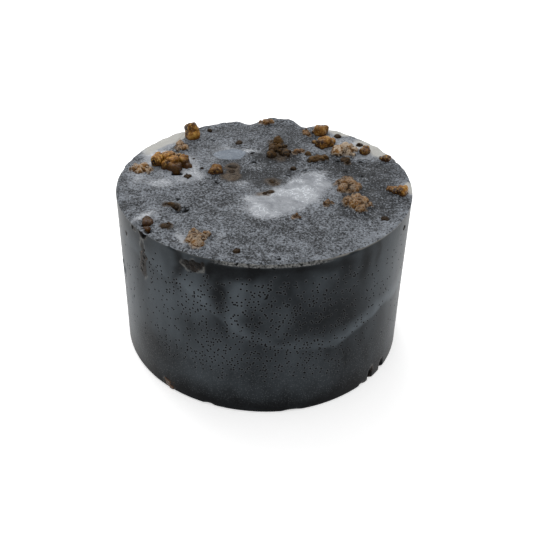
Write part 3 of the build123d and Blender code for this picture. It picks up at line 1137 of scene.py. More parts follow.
@dataclass(frozen=True)
class MouldWall:
    """Shape of the wall: nearly a cylinder, with a froth bead and chipped edges."""

    size: PuckSize
    chips: Sequence[EdgeChip] = (
        EdgeChip(-48.0, 37.6, 1.8, 1.1, 0.9), EdgeChip(49.0, 1.2, 1.1, 1.8, 0.8),
        EdgeChip(57.5, 1.1, 1.2, 1.6, 0.8), EdgeChip(44.0, 0.2, 1.2, 0.6, 0.3),
        EdgeChip(-20.0, 0.2, 2.0, 0.5, 0.3), EdgeChip(12.0, 0.2, 3.0, 0.4, 0.25),
        EdgeChip(-70.0, 21.5, 1.5, 1.0, -0.25), EdgeChip(-72.0, 23.0, 1.2, 0.8, -0.2),
        EdgeChip(17.5, 37.7, 1.5, 0.6, 0.4), EdgeChip(-33.0, 37.7, 2.0, 0.5, 0.3),
        EdgeChip(33.0, 37.7, 2.5, 0.5, 0.3), EdgeChip(92.0, 37.7, 3.0, 0.9, 0.6),
    )
    wave_mm: Span = (0.06, 0.04)
    ripple_mm: float = 0.05
    bead_mm: float = 0.26
    bead_drop: float = 0.55
    bead_half: float = 0.42

    def bulge(self, angle: Array, z: Array) -> Array:
        """How far the wall stands out from the nominal radius at an angle and a height.

        It is slight waviness of the mould, plus a bead of froth under the front rim, less the
        bites.

        Args:
            angle: Angles round the wall in degrees.
            z: Heights in mm.

        Returns:
            Distances in mm.
        """
        turn = np.radians(angle)
        broad, slight = self.wave_mm
        wave = broad * np.sin(3 * turn + 0.7) + slight * np.sin(7 * turn + z / 9.0)
        ripple = self.ripple_mm * np.sin(turn * 61.0 + 2.0 * np.sin(turn * 17.0))
        lobe = np.exp(-((z - self.size.top + self.bead_drop) / self.bead_half) ** 2)
        bead = (self.bead_mm + ripple) * lobe * bead_span(angle)
        lost = np.zeros_like(wave + bead)
        for chip in self.chips:
            lost += chip.depth * chip.over(angle, z)
        return wave + bead - lost


def bead_span(angle: Array) -> Array:
    """1 along the stretch of rim where froth was pressed out, falling to 0 past its ends."""
    return smooth_step(-19.0, -11.0, angle) * (1.0 - smooth_step(16.0, 27.0, angle))


@dataclass
class PourLine:
    """Height of the join between the two pours, level from front to back.

    It has places across the puck as shares of the radius, and the veil's height there as a
    share of its whole rise.
    """

    size: PuckSize
    across: Sequence[float] = (-1.1, -0.5, -0.17, 0.34, 0.76, 1.1)
    rise: Sequence[float] = (1.03, 1.0, 0.42, 0.0, 0.22, 0.34)
    thickness: float = 2.8

    def heights(self) -> tuple[Array, Array, Array]:
        """Places across the puck and the heights of the pale veil's two faces, in mm."""
        low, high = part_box("pour_line_veil")
        across = np.array(self.across) * self.size.radius
        floor = low.z / MM
        span = (high.z - low.z) / MM - self.thickness
        under = floor + np.array(self.rise) * span
        return across, under, under + self.thickness

    def at(self, x: Array, upper: bool) -> Array:
        """Height of one face of the veil, smooth between the listed places.

        Args:
            x: Places across the puck in mm.
            upper: Whether the veil's upper face is wanted.

        Returns:
            Heights in mm, blended by a cubic through the places.
        """
        across, under, over = self.heights()
        values = over if upper else under
        slopes = np.gradient(values, across)
        index = np.clip(np.searchsorted(across, x) - 1, 0, len(across) - 2)
        width = across[index + 1] - across[index]
        t = np.clip((x - across[index]) / width, 0.0, 1.0)
        rise = values[index] * (1 + 2 * t) * (1 - t) ** 2
        rise = rise + values[index + 1] * t ** 2 * (3 - 2 * t)
        return rise + width * t * (1 - t) * (slopes[index] * (1 - t) - slopes[index + 1] * t)


@dataclass
class WallLook:
    """Colour fields of the wall: hazes, drips, painted shade, painted sheen and a painted rim
    highlight, the pale band, pinholes and smears.
    """

    size: PuckSize
    line: PourLine
    mould: MouldWall
    haze_spots: Sequence[Blob] = blobs(
        (-8.0, 27.5, 4.0, 8.0, 0, 0.42), (-24.0, 28.0, 8.0, 6.0, 0, 0.30),
        (-40.0, 22.0, 9.0, 12.0, 0, 0.26), (-62.0, 20.0, 12.0, 14.0, 0, 0.30),
        (22.0, 29.0, 9.0, 4.0, 0, 0.14), (-20.0, 15.0, 14.0, 4.5, 0, 0.16),
        (58.0, 28.0, 14.0, 9.0, 0, 0.25), (6.0, 24.5, 8.0, 3.5, 0, 0.14),
        (-32.0, 7.5, 12.0, 2.6, 0, 0.10), (-1.0, 31.0, 3.0, 4.0, 0, 0.22),
    )
    # Dark drips from the rim, with painted shade among them: the wide, short spots at 35 to 36 mm
    # under the bead and the long bands at 0.9 and 4 mm round the foot.
    drip_and_shade_spots: Sequence[Blob] = blobs(
        (-31.5, 34.0, 1.6, 4.6, 0, 0.85), (-13.8, 31.5, 2.2, 8.0, 0, 0.80),
        (-17.0, 34.8, 1.5, 3.0, 0, 0.8), (-3.0, 35.6, 5.0, 1.6, 0, 0.75),
        (9.0, 34.8, 6.0, 2.2, 0, 0.6), (38.0, 34.0, 2.4, 4.4, 0, 0.7),
        (45.0, 34.5, 1.8, 3.5, 0, 0.6), (8.5, 19.0, 3.4, 1.3, 0, 0.8),
        (24.0, 23.0, 16.0, 3.4, 0, 0.45), (0.0, 0.9, 180.0, 3.2, 0, 0.92),
        (-4.0, 24.0, 3.0, 2.0, 0, 0.4), (30.0, 33.5, 3.0, 3.0, 0, 0.5),
        (-9.0, 35.2, 12.0, 1.6, 0, 0.92), (30.0, 26.0, 14.0, 7.0, 0, 0.45),
        (-46.0, 9.0, 15.0, 5.0, 0, 0.75), (-5.0, 4.0, 60.0, 2.6, 0, 0.35),
        (24.0, 35.6, 9.0, 1.4, 0, 0.7),
    )
    rust_spots: Sequence[Blob] = blobs(
        (-24.2, 35.1, 4.4, 1.35), (-49.0, 30.8, 2.0, 4.3), (-39.0, 1.3, 2.4, 1.5),
        (-62.0, 33.4, 1.7, 0.8), (-54.5, 36.8, 2.2, 0.7), (49.0, 1.2, 2.6, 1.6, 62),
        (57.5, 1.1, 2.4, 1.6, 62), (44.0, 0.2, 1.3, 0.6), (66.0, 34.6, 1.5, 0.8),
        (-48.0, 37.4, 2.6, 1.3),
    )
    # Pores, painted near black as shade inside them.
    pores: Sequence[Blob] = blobs(
        (-26.8, 35.3, 0.75, 0.40), (-24.7, 34.6, 0.9, 0.35), (-23.0, 35.5, 0.6, 0.30),
        (-21.4, 35.9, 0.8, 0.35), (-25.6, 36.1, 0.5, 0.25), (-50.2, 28.6, 0.7, 0.5),
        (-49.2, 30.6, 0.6, 0.6), (-48.3, 32.8, 0.7, 0.5), (-38.6, 1.6, 0.9, 0.45),
        (49.0, 1.2, 2.0, 0.75, 62), (57.5, 1.1, 1.8, 0.75, 62), (-47.8, 37.0, 1.0, 0.6),
        (-8.0, 37.2, 0.7, 0.22), (-4.2, 36.9, 0.5, 0.20), (-1.0, 37.2, 0.6, 0.25),
        (3.2, 37.0, 0.8, 0.22), (6.4, 37.3, 0.4, 0.18), (10.6, 37.0, 0.7, 0.22),
        (14.0, 37.2, 0.6, 0.20), (19.5, 37.1, 0.5, 0.20), (1.0, 30.2, 0.6, 0.35),
    )

    haze_level: float = 0.26
    swirl_share: float = 0.19
    streak_share: float = 0.10
    spot_share: float = 1.25
    # Painted sheen towards the left and right of the wall.
    side_sheen_share: float = 0.10
    shade_share: float = 0.9
    shade_drop: float = 1.75
    shade_half: float = 0.75
    holes_share: float = 0.80
    outline_share: float = 0.35
    band_share: Span = (0.28, 0.42)
    seed: int = 21

    def __post_init__(self) -> None:
        """Prepare the random lattice."""
        self.rumple = Rumple(self.seed)

    def fields(self, points: Array) -> Fields:
        """Colour fields of the wall.

        Args:
            points: Places in mm, shaped (..., 3).

        Returns:
            Values for haze, pinholes, dots, froth, rust, the painted rim highlight with pale
            outlines, and pits.
        """
        angle, z = wall_angle(points), points[..., 2]
        crumb_angle = angle + 2.0 * self.rumple.layered(points + 160.0, 1.4, 2)
        crumb_z = z + 0.7 * self.rumple.layered(points + 200.0, 1.1, 2)
        rust = blend_blobs(self.rust_spots, crumb_angle, crumb_z)
        outline = smooth_step(0.12, 0.24, rust) * (1.0 - smooth_step(0.28, 0.45, rust))
        outline *= smooth_step(-0.3, 0.5, self.rumple.layered(points + 240.0, 1.3, 2))
        froth = smooth_step(self.size.top - 1.15, self.size.top - 0.85, z)
        return {
            "haze": self.bloom(points, angle, z),
            "holes": self.holes_share * self.crowding(angle, z),
            "froth": bead_span(angle) * froth,
            "dots": (1.0 - smooth_step(10.0, 16.0, z)) * smooth_step(1.0, 4.0, z),
            "rust": smooth_step(0.30, 0.55, rust),
            # The pale field: a painted highlight along the top edge, with pale outlines round the
            # rust.
            "pale": np.maximum(self.rim(angle, z), self.outline_share * outline),
            "pit": blend_blobs(self.pores, crumb_angle, crumb_z),
        }

    def bloom(self, points: Array, angle: Array, z: Array) -> Array:
        """Pale bloom on the dark soap.

        It is an even haze with swirls, upright streaks and cloudy spots, plus painted sheen towards
        the sides, less the drips and painted shade under the bead and round the foot, plus the pale
        band; little of it shows in the painted shade under the bead.

        Args:
            points: Places in mm, shaped (..., 3).
            angle: Their angles round the wall in degrees.
            z: Their heights in mm.

        Returns:
            One value for each point, 0 for plain dark soap.
        """
        # The shifts of 40 mm and more only make each pattern read its own part of the lattice.
        swirl = self.rumple.layered(points * np.array([1.0, 1.0, 0.45]), 6.0, 4)
        streaks = self.rumple.layered(points * np.array([1.0, 1.0, 0.25]) + 300.0, 1.4, 3)
        bent = angle + 3.0 * self.rumple.layered(points + 40.0, 5.0, 3)
        sunk = z + 1.2 * self.rumple.layered(points + 80.0, 5.0, 3)
        haze = self.haze_level + self.swirl_share * swirl + self.streak_share * streaks
        haze = haze + self.spot_share * blend_blobs(self.haze_spots, bent, sunk)
        # Painted sheen: the haze grows paler towards the left and right of the wall, standing in
        # for reflection at grazing angles.
        haze += self.side_sheen_share * smooth_step(45.0, 85.0, np.abs(angle))
        # Dark drips, and painted shade under the bead and round the foot, take away the haze.
        haze *= 1.0 - blend_blobs(self.drip_and_shade_spots, bent, sunk)
        haze += self.band(points, angle, sunk)
        below = (z - self.size.top + self.shade_drop) / self.shade_half
        return haze * (1.0 - self.shade_share * bead_span(angle) * np.exp(-below ** 2))

    @staticmethod
    def crowding(angle: Array, z: Array) -> Array:
        """Share of the pinholes that show: most at the front, none near the top or bottom."""
        between = smooth_step(7.0, 13.0, z) * (1.0 - smooth_step(31.0, 36.0, z))
        return between * (0.15 + 0.85 * np.exp(-((angle + 1.0) / 40.0) ** 4))

    def rim(self, angle: Array, z: Array) -> Array:
        """Painted highlight along the edge just under the top, strongest from the front to the
        right.
        """
        lit = smooth_step(-16.0, -6.0, angle) * (1.0 - 0.6 * smooth_step(25.0, 60.0, angle))
        edge = smooth_step(self.size.top - 0.62, self.size.top - 0.28, z)
        return edge * (0.15 + 0.6 * lit)

    def band(self, points: Array, angle: Array, sunk: Array) -> Array:
        """Pale band along the pour line, brightest at its lower edge and fading upwards."""
        under = self.line.at(points[..., 0], upper=False)
        over = sunk - under
        rise = smooth_step(-0.7, 0.5, over) * (1.0 - smooth_step(0.6, 4.6, over))
        patchy = 0.75 + 0.55 * self.rumple.layered(points + 120.0, 3.0, 3)
        least, more = self.band_share
        return (least + more * smooth_step(5.0, 45.0, angle)) * rise * patchy


@dataclass
class WallLayer:
    """One poured layer: its stretch of the wall and the faces that close it."""

    name: str
    node: str
    slot: str
    size: PuckSize
    look: WallLook
    low: Callable[[Array], Array]
    high: Callable[[Array], Array]
    rows: int
    rounded_foot: bool = False
    round_steps: int = 620
    foot_radius: float = 0.5
    inner_shares: Sequence[float] = (0.93, 0.72, 0.40)

    def ring(self, share: float, heights: Array, turn: Array) -> Array:
        """Ring of points inside the layer at a share of the radius."""
        x = share * self.size.radius * np.sin(turn)
        y = -share * self.size.radius * np.cos(turn)
        return np.stack([x, y, heights], axis=-1)

    def make(self) -> bpy.types.Object:
        """Build and dress the layer.

        Returns:
            The finished piece.
        """
        turn = np.linspace(-math.pi, math.pi, self.round_steps, endpoint=False)
        rim_x = self.size.radius * np.sin(turn)
        foot, head = self.low(rim_x), self.high(rim_x)
        share = np.linspace(0.0, 1.0, self.rows)[:, None]
        z = foot + (head - foot) * share
        reach = self.size.radius + self.look.mould.bulge(np.degrees(turn)[None, :], z)
        if self.rounded_foot:
            gap = np.clip(self.foot_radius - z, 0.0, self.foot_radius)
            reach = reach - self.foot_radius + np.sqrt(self.foot_radius ** 2 - gap ** 2)
        wall = np.stack([reach * np.sin(turn), -reach * np.cos(turn), z], axis=-1)
        under = [self.ring(s, self.low(s * rim_x), turn) for s in self.inner_shares[::-1]]
        over = [self.ring(s, self.high(s * rim_x), turn) for s in self.inner_shares]
        rings = np.concatenate([np.stack(under), wall, np.stack(over)])
        middle = np.zeros(1)
        draft = MeshDraft()
        draft.capped_rings(rings, np.array([0.0, 0.0, self.low(middle)[0]]),
                           np.array([0.0, 0.0, self.high(middle)[0]]))
        piece = draft.make(self.name, self.look.fields(draft.all_points()), crease=40.0)
        piece.data.materials.append(WallSoapFinish("soap_" + self.name).build())
        settle(piece, [self.node], self.slot)
        return piece


@dataclass
class PouredBody:
    """The two dark pours with the pale veil between them."""

    size: PuckSize
    look: WallLook

    def line(self, x: Array, upper: bool) -> Array:
        """Height of one face of the veil."""
        return self.look.line.at(x, upper)

    def make(self) -> list[bpy.types.Object]:
        """Build the three layers from the bottom up."""
        def floor(x: Array) -> Array:
            """Flat bottom face."""
            return np.zeros_like(x)

        def under(x: Array) -> Array:
            """Lower face of the veil."""
            return self.line(x, upper=False)

        def over(x: Array) -> Array:
            """Upper face of the veil."""
            return self.line(x, upper=True)

        def ceiling(x: Array) -> Array:
            """Underside of the crust."""
            return np.full_like(x, self.size.crust_floor)

        layers = [
            WallLayer("lower_pour_wall", "lower_pour", "dark_soap", self.size, self.look,
                      floor, under, 64, rounded_foot=True),
            WallLayer("pour_line_band", "pour_line_veil", "veil_soap", self.size, self.look,
                      under, over, 9),
            WallLayer("upper_pour_wall", "upper_pour", "dark_soap", self.size, self.look,
                      over, ceiling, 48),
        ]
        return [layer.make() for layer in layers]


# ---- Resin grains ----------------------------------------------------------

@dataclass(frozen=True)
class Grain:
    """One lump of a cluster: its place from the cluster's middle and the top face, in mm."""

    x: float
    y: float
    rise: float
    radius: float
    tall: float = 1.0


def lumps(*rows: Sequence[float]) -> tuple[Grain, ...]:
    """Lumps of one cluster from rows of x, y, rise, radius and, where it isn't 1, stretch."""
    return tuple(Grain(*row) for row in rows)


@dataclass
class ResinCluster:
    """Lumps of resin grown into one another, with small nodules on them."""

    node: str
    resin: Resin
    size: PuckSize
    grains: Sequence[Grain]
    nodules: int = 0
    nodule_radius: float = 0.45
    seed: int = 1
    detail: int = 30
    dullness: float = 0.0
    film: float = 0.0
    # Painted shade low on the lumps: how high it climbs in mm, and how much higher per mm across
    # the cluster.
    shade: float = 1.3
    shade_slope: tuple[float, float] = (0.0, 0.0)
    lumpiness: float = 0.24
    grit_mm: float = 0.09
    stretch: Span = (0.84, 1.16)
    lean: float = 0.35
    crack_span: Span = (0.97, 1.20)
    lattice_seed: int = 100

    COLLAR_MM = 0.30                # height of the soap round a proud grain
    COVER_SHARE = 0.5               # share of a sunken grain's height that the soap climbs
    DOME_REACH = 1.22               # reach of the soap over the grain's radius
    PROUD_TINT, SUNKEN_TINT = 0.42, 0.80

    def __post_init__(self) -> None:
        """Prepare the random lattice."""
        self.rumple = Rumple(self.lattice_seed + self.seed)

    def finish(self) -> ResinFinish:
        """The resin's finish, with more dried soap film on it where the cluster has some."""
        plain = self.resin.finish()
        return replace(plain, film_share=max(plain.film_share, self.film))

    def squareness(self) -> float:
        """Power p of the lumps' shape: 2 for round ones, more for blocky ones."""
        return 3.4 if self.resin is Resin.AMBER else 2.3

    def crease_and_low_shade(self, points: Array, lumps: Sequence[tuple[Array, float, float]]) -> Array:
        """How much painted shade each point gets, from 0 to 1.

        The distance to every lump's middle is divided by its radius; the second smallest of these
        is near 1 where two lumps meet, and that crease gets painted shade.  Points low on a lump,
        near the soap, get painted shade too, which climbs higher towards one side of the cluster.

        Args:
            points: Places in mm, shaped (points, 3).
            lumps: Middle, radius and stretch of every lump.

        Returns:
            One value for each point.
        """
        shares = [np.linalg.norm(points - middle, axis=-1) / radius for middle, radius, _ in lumps]
        offset = points[:, :2] - np.array(node_spot(self.node))
        height = points[:, 2] - self.size.top - offset @ np.array(self.shade_slope)
        low = 1.0 - smooth_step(0.1, self.shade, height)
        if len(shares) < 2:
            return 0.5 * low
        second = np.sort(np.stack(shares), axis=0)[1]
        return np.maximum(1.0 - smooth_step(*self.crack_span, second), 0.92 * low)

    def lump(self, centre: Array, radius: float, tall: float, rng: np.random.Generator,
             steps: int) -> tuple[Array, Array, Array]:
        """Skin of one lump.

        The radius in each direction is the nominal one over the p-norm of that direction, times 1
        plus broad noise, plus fine noise; the lump is then stretched and turned at random.

        Args:
            centre: Middle of the lump in mm.
            radius: Nominal radius in mm.
            tall: Stretch along the vertical.
            rng: Source of random values.
            steps: Rings from pole to pole.

        Returns:
            Rings of points, the lower pole and the upper pole.
        """
        polar = np.linspace(0.0, math.pi, steps + 2)
        around = np.linspace(0.0, 2 * math.pi, 2 * steps, endpoint=False)
        polar_grid, around_grid = np.meshgrid(polar, around, indexing="ij")
        way = np.stack([np.sin(polar_grid) * np.cos(around_grid),
                        np.sin(polar_grid) * np.sin(around_grid),
                        -np.cos(polar_grid)], axis=-1)
        shift = rng.uniform(0.0, 30.0, 3)
        broad = self.rumple.layered(way + shift, 0.95, 2)
        fine = self.rumple.layered(way * radius + shift, 0.55, 2)
        power = self.squareness()
        block = (np.abs(way) ** power).sum(axis=-1) ** (-1.0 / power)
        reach = radius * block * (0.94 + self.lumpiness * broad) + self.grit_mm * fine
        stretch = rng.uniform(*self.stretch, 3) * np.array([1.0, 1.0, tall])
        turn = rng.uniform(0.0, 2 * math.pi)
        lean = rng.uniform(-self.lean, self.lean)
        spin = np.array([[math.cos(turn), -math.sin(turn), 0.0],
                         [math.sin(turn), math.cos(turn), 0.0], [0.0, 0.0, 1.0]])
        tilt = np.array([[1.0, 0.0, 0.0], [0.0, math.cos(lean), -math.sin(lean)],
                         [0.0, math.sin(lean), math.cos(lean)]])
        skin = (way * reach[..., None] * stretch) @ (spin @ tilt).T + centre
        return skin[1:-1], skin[0].mean(axis=0), skin[-1].mean(axis=0)

    def domes(self) -> list[Dome]:
        """Soap that climbs each lump: nearly over a sunken one, a low collar round a proud one."""
        x, y = node_spot(self.node)
        proud = self.resin is Resin.AMBER
        domes = []
        for grain in self.grains:
            peak = grain.rise + grain.radius * grain.tall
            height = self.COLLAR_MM if proud else max(0.0, self.COVER_SHARE * peak)
            tint = self.PROUD_TINT if proud else self.SUNKEN_TINT
            domes.append(Dome(x + grain.x, y + grain.y, grain.radius * self.DOME_REACH, height,
                              tint, self.resin.tone()))
        return domes

    def make(self) -> bpy.types.Object:
        """Build and dress the cluster.

        Returns:
            The finished piece.
        """
        rng = np.random.default_rng(self.seed)
        middle = np.array([*node_spot(self.node), self.size.top])
        draft = MeshDraft()
        lumps = [(middle + np.array([g.x, g.y, g.rise]), g.radius, g.tall) for g in self.grains]
        for _ in range(self.nodules):
            host, host_radius, _ = lumps[int(rng.integers(len(self.grains)))]
            way = rng.normal(size=3)
            way[2] = abs(way[2]) * 0.8
            way /= np.linalg.norm(way)
            small = self.nodule_radius * rng.uniform(0.6, 1.3)
            lumps.append((host + way * host_radius * 0.9, small, 1.0))
        for centre, radius, tall in lumps:
            steps = max(10, int(self.detail * min(1.0, radius / 1.6)))
            draft.capped_rings(*self.lump(centre, radius, tall, rng, steps))
        # Painted shade in the creases and low down, or the dullness where that is more.
        dark_tone_and_shade = np.maximum(self.dullness, self.crease_and_low_shade(draft.all_points(), lumps))
        piece = draft.make(self.node + "_resin", {"dark_tone_and_shade": dark_tone_and_shade})
        piece.data.materials.append(self.finish().build())
        settle(piece, [self.node], self.resin.value)
        return piece


@dataclass
class ScatteredGrains:
    """Small single grains, one lump for each CAD grain.

    Each has its place as shares of the puck's radius, then its own radius in mm.
    """

    size: PuckSize
    places: Sequence[tuple[float, float, float]] = (
        (-0.53, 0.04, 0.9), (-0.51, 0.31, 0.5), (-0.44, 0.17, 0.5), (-0.425, 0.79, 0.8),
        (-0.195, 0.585, 0.9), (0.20, 0.19, 0.8), (0.545, 0.73, 0.9), (0.695, 0.585, 0.8),
        (0.77, -0.47, 0.8), (-0.155, -0.88, 0.8),
    )

    def make(self) -> bpy.types.Object:
        """Build and dress the grains."""
        x, y = node_spot("scattered_grains")
        radius = self.size.radius
        grains = [Grain(radius * a - x, radius * b - y, -0.15, size, 0.8)
                  for a, b, size in self.places]
        cluster = ResinCluster("scattered_grains", Resin.BROWN, self.size, grains, 8, 0.35, 77)
        return cluster.make()


@dataclass
class WallInclusion:
    """Resin that shows in the wall: flattened lumps that barely stand out of it."""

    node: str
    resin: Resin
    size: PuckSize
    spots: Sequence[tuple[float, float, float]]
    sinking: float = 0.45
    seed: int = 1
    darkness: float = 0.9
    proud_share: float = 0.25
    floor_gap: float = 0.05
    steps: int = 18

    def make(self) -> bpy.types.Object:
        """Build and dress the inclusion.

        Returns:
            The finished piece.
        """
        maker = ResinCluster(self.node, self.resin, self.size, (), seed=self.seed,
                             lattice_seed=200)
        rng = np.random.default_rng(self.seed)
        draft = MeshDraft()
        for angle, z, radius in self.spots:
            turn = math.radians(angle)
            reach = self.size.radius - self.sinking * radius
            centre = np.array([reach * math.sin(turn), -reach * math.cos(turn), z])
            skin, low, high = maker.lump(centre, radius, 1.0, rng, self.steps)
            flat = [self.press(part) for part in (skin, low, high)]
            draft.capped_rings(*flat)
        piece = draft.make(self.node + "_resin", {"dark_tone_and_shade": np.full(draft.count, self.darkness)})
        piece.data.materials.append(self.resin.finish().build())
        settle(piece, [self.node], self.resin.value)
        return piece

    def press(self, points: Array) -> Array:
        """Points outside the wall pressed back to a quarter of their height above it."""
        reach = np.hypot(points[..., 0], points[..., 1])
        proud = np.clip(reach - self.size.radius, 0.0, None)
        scale = (reach - (1.0 - self.proud_share) * proud) / reach
        pressed = points * np.stack([scale, scale, np.ones_like(scale)], axis=-1)
        pressed[..., 2] = np.clip(pressed[..., 2], self.floor_gap, None)
        return pressed


def resin_clusters(size: PuckSize) -> list[ResinCluster]:
    """Every cluster of the top face.

    Each has its own listed lumps, then how many nodules it has, their radius in mm and the
    cluster's seed.

    Args:
        size: The puck's sizes.

    Returns:
        The clusters, in the order of their seeds.
    """
    amber, tan, brown = Resin.AMBER, Resin.TAN, Resin.BROWN
    return [
        ResinCluster("amber_cluster", amber, size, lumps(
            (-2.6, 0.6, 0.9, 1.5), (-0.5, 1.7, 1.3, 1.6), (1.5, 1.6, 1.1, 1.4),
            (2.9, 0.6, 0.9, 1.5), (0.9, -0.2, 1.4, 1.5), (-0.5, -0.9, 0.6, 1.3),
            (1.3, -1.8, 0.5, 1.5), (3.9, -0.5, 0.3, 0.9),
        ), 4, 0.6, 1, 40, shade=2.1, shade_slope=(0.30, -0.32)),
        ResinCluster("amber_nugget", amber, size, lumps(
            (0.0, -0.2, 0.8, 1.6), (-0.3, 0.2, 2.0, 1.3, 1.2), (0.6, 0.3, 1.7, 1.0),
        ), 3, 0.45, 2, dullness=0.12),
        ResinCluster("tan_cluster_left", tan, size, lumps(
            (-1.6, 0.3, 0.0, 1.3), (0.0, 0.6, 0.2, 1.4), (1.2, -0.4, 0.0, 1.2),
            (-0.6, -0.8, -0.1, 1.1),
        ), 8, 0.5, 3, film=0.65),
        ResinCluster("brown_cluster_left", tan, size, lumps(
            (-0.5, 0.9, 0.1, 1.2), (0.6, -0.6, 0.0, 1.1), (-0.8, -0.5, -0.1, 1.0),
        ), 6, 0.45, 4, film=0.5),
        ResinCluster("round_nugget", amber, size, lumps(
            (0.0, -0.6, 0.1, 1.4), (0.2, 0.3, 0.4, 1.1),
        ), 2, 0.4, 5, dullness=0.55, shade=2.0),
        ResinCluster("sunken_smear", brown, size, lumps(
            (0.0, 2.0, -1.25, 1.6), (-0.2, 0.0, -1.35, 1.5), (0.2, -1.9, -1.25, 1.6),
        ), 0, 0.4, 6),
        ResinCluster("dark_cluster_back", brown, size, lumps(
            (-0.1, 3.0, 0.4, 1.4, 1.2), (-1.0, -0.4, -0.1, 1.4), (-1.4, -2.9, -0.2, 1.3),
            (1.6, -2.0, -0.1, 1.5), (0.8, 0.9, 0.0, 1.4), (-0.9, 1.5, 0.0, 1.2),
        ), 14, 0.5, 7, dullness=0.2),
        ResinCluster("pale_grain_back", tan, size, lumps(
            (-0.4, -0.2, -0.2, 1.1), (0.5, 0.3, -0.2, 0.9),
        ), 3, 0.4, 8),
        ResinCluster("dark_round_grain", brown, size, lumps((0.0, 0.0, 0.1, 0.8)), 0, 0.3, 9),
        ResinCluster("cluster_right_middle", brown, size, lumps(
            (-1.3, -0.6, 0.1, 1.2), (0.2, 0.2, 0.2, 1.4), (1.4, 0.7, 0.1, 1.0),
        ), 8, 0.45, 10),
        ResinCluster("nugget_back", amber, size, lumps(
            (0.0, -0.2, 0.6, 1.5), (0.8, 0.3, 0.9, 1.1), (-1.0, 0.2, 0.1, 0.9),
        ), 3, 0.45, 11, dullness=0.35),
        ResinCluster("tan_grain_back", tan, size, lumps(
            (0.0, 0.6, 0.1, 0.9), (0.1, -0.7, 0.0, 0.9),
        ), 3, 0.35, 12),
        ResinCluster("orange_cluster_back", amber, size, lumps(
            (-0.9, -1.1, 0.3, 1.4), (0.6, -0.1, 0.7, 1.5), (-0.2, 1.2, 0.4, 1.2),
            (1.6, 1.0, 0.2, 1.0), (-1.8, 0.3, 0.0, 1.0),
        ), 5, 0.5, 13, dullness=0.3),
        ResinCluster("tan_cluster_back_right", tan, size, lumps(
            (-1.7, -0.4, 0.2, 1.5), (0.0, 0.2, 0.6, 1.7), (1.8, 0.3, 0.4, 1.4),
            (0.7, -1.0, 0.1, 1.3), (-0.7, 1.2, 0.2, 1.2),
        ), 10, 0.55, 14, film=0.85),
        ResinCluster("nugget_right_back", amber, size, lumps(
            (-0.2, -0.3, 0.5, 1.2), (0.2, 0.3, 0.7, 0.9),
        ), 2, 0.4, 15, dullness=0.35),
        ResinCluster("rim_grain_right", amber, size, lumps(
            (0.3, -0.2, 0.2, 1.0), (-0.5, 0.3, 0.0, 0.8),
        ), 2, 0.35, 16, dullness=0.3),
        ResinCluster("dark_grain_right", brown, size, lumps(
            (0.0, 0.3, 0.1, 1.0), (0.1, -0.5, 0.0, 0.8),
        ), 2, 0.35, 17),
        ResinCluster("tan_grain_rim_back", tan, size, lumps(
            (-0.1, -0.1, 0.2, 1.2), (0.8, 0.2, 0.1, 1.0), (-0.9, 0.1, -0.1, 0.9),
        ), 5, 0.4, 18),
        ResinCluster("brown_cluster_right", tan, size, lumps(
            (0.1, 1.7, 0.2, 1.4), (-1.3, 0.2, 0.2, 1.5), (0.5, -0.4, 0.5, 1.6),
            (-0.9, -2.0, 0.2, 1.4), (0.9, -2.7, 0.2, 1.5), (1.6, -1.2, 0.1, 1.2),
        ), 10, 0.5, 19, dullness=0.3, shade=1.4, film=0.4),
        ResinCluster("tan_cluster_right", tan, size, lumps(
            (0.4, 1.0, 0.3, 1.4), (-1.6, -0.4, 0.2, 1.4), (1.3, -0.6, 0.5, 1.5),
            (-0.1, -1.9, 0.3, 1.5), (0.7, -3.3, 0.2, 1.3), (2.4, -1.2, 0.1, 1.1),
        ), 10, 0.5, 20, dullness=0.2, shade=1.3, film=0.45),
        ResinCluster("orange_grain_right", amber, size, lumps(
            (0.9, -0.9, 0.2, 1.35), (-0.2, -0.1, 0.0, 1.2), (-1.4, 0.8, -0.1, 0.9),
        ), 0, 0.4, 21, dullness=0.1),
        ResinCluster("grain_pool_right", tan, size, lumps(
            (-0.2, -0.1, -0.1, 1.0), (0.4, 0.1, -0.1, 0.8),
        ), 3, 0.35, 22),
        ResinCluster("grain_pool_front", tan, size, lumps(
            (-0.2, 0.1, -0.1, 0.9), (0.5, -0.1, -0.1, 0.6),
        ), 2, 0.3, 23),
        ResinCluster("sunken_grain_centre", brown, size, lumps(
            (0.5, 2.8, -1.0, 1.4), (1.0, 1.8, -1.0, 1.2), (0.1, -2.4, -0.45, 1.1),
            (-1.0, -3.1, -0.5, 0.9),
        ), 2, 0.3, 24),
        ResinCluster("flat_flake_left", brown, size, lumps(
            (0.0, 0.0, -0.45, 1.1), (-1.0, 0.3, -0.55, 1.0), (1.0, -0.3, -0.5, 0.9),
        ), 3, 0.35, 25),
        ResinCluster("crater_grain_left", amber, size, lumps(
            (0.0, 0.9, -0.75, 1.1), (-0.2, 1.7, -0.6, 0.8), (0.3, -1.9, -0.6, 0.7),
        ), 2, 0.35, 26, dullness=0.4),
        ResinCluster("soft_grain_left", brown, size, lumps(
            (-0.2, -0.2, -0.3, 1.1), (0.3, 0.3, -0.3, 0.9),
        ), 2, 0.35, 27),
        ResinCluster("tan_cluster_front", tan, size, lumps(
            (0.1, -1.9, 0.1, 1.4), (-1.0, -0.2, 0.1, 1.3), (0.7, 0.2, 0.0, 1.3),
            (-0.7, 1.7, -0.1, 1.2), (1.3, 1.6, -0.1, 0.9),
        ), 10, 0.5, 28, film=0.55, dullness=0.25),
    ]


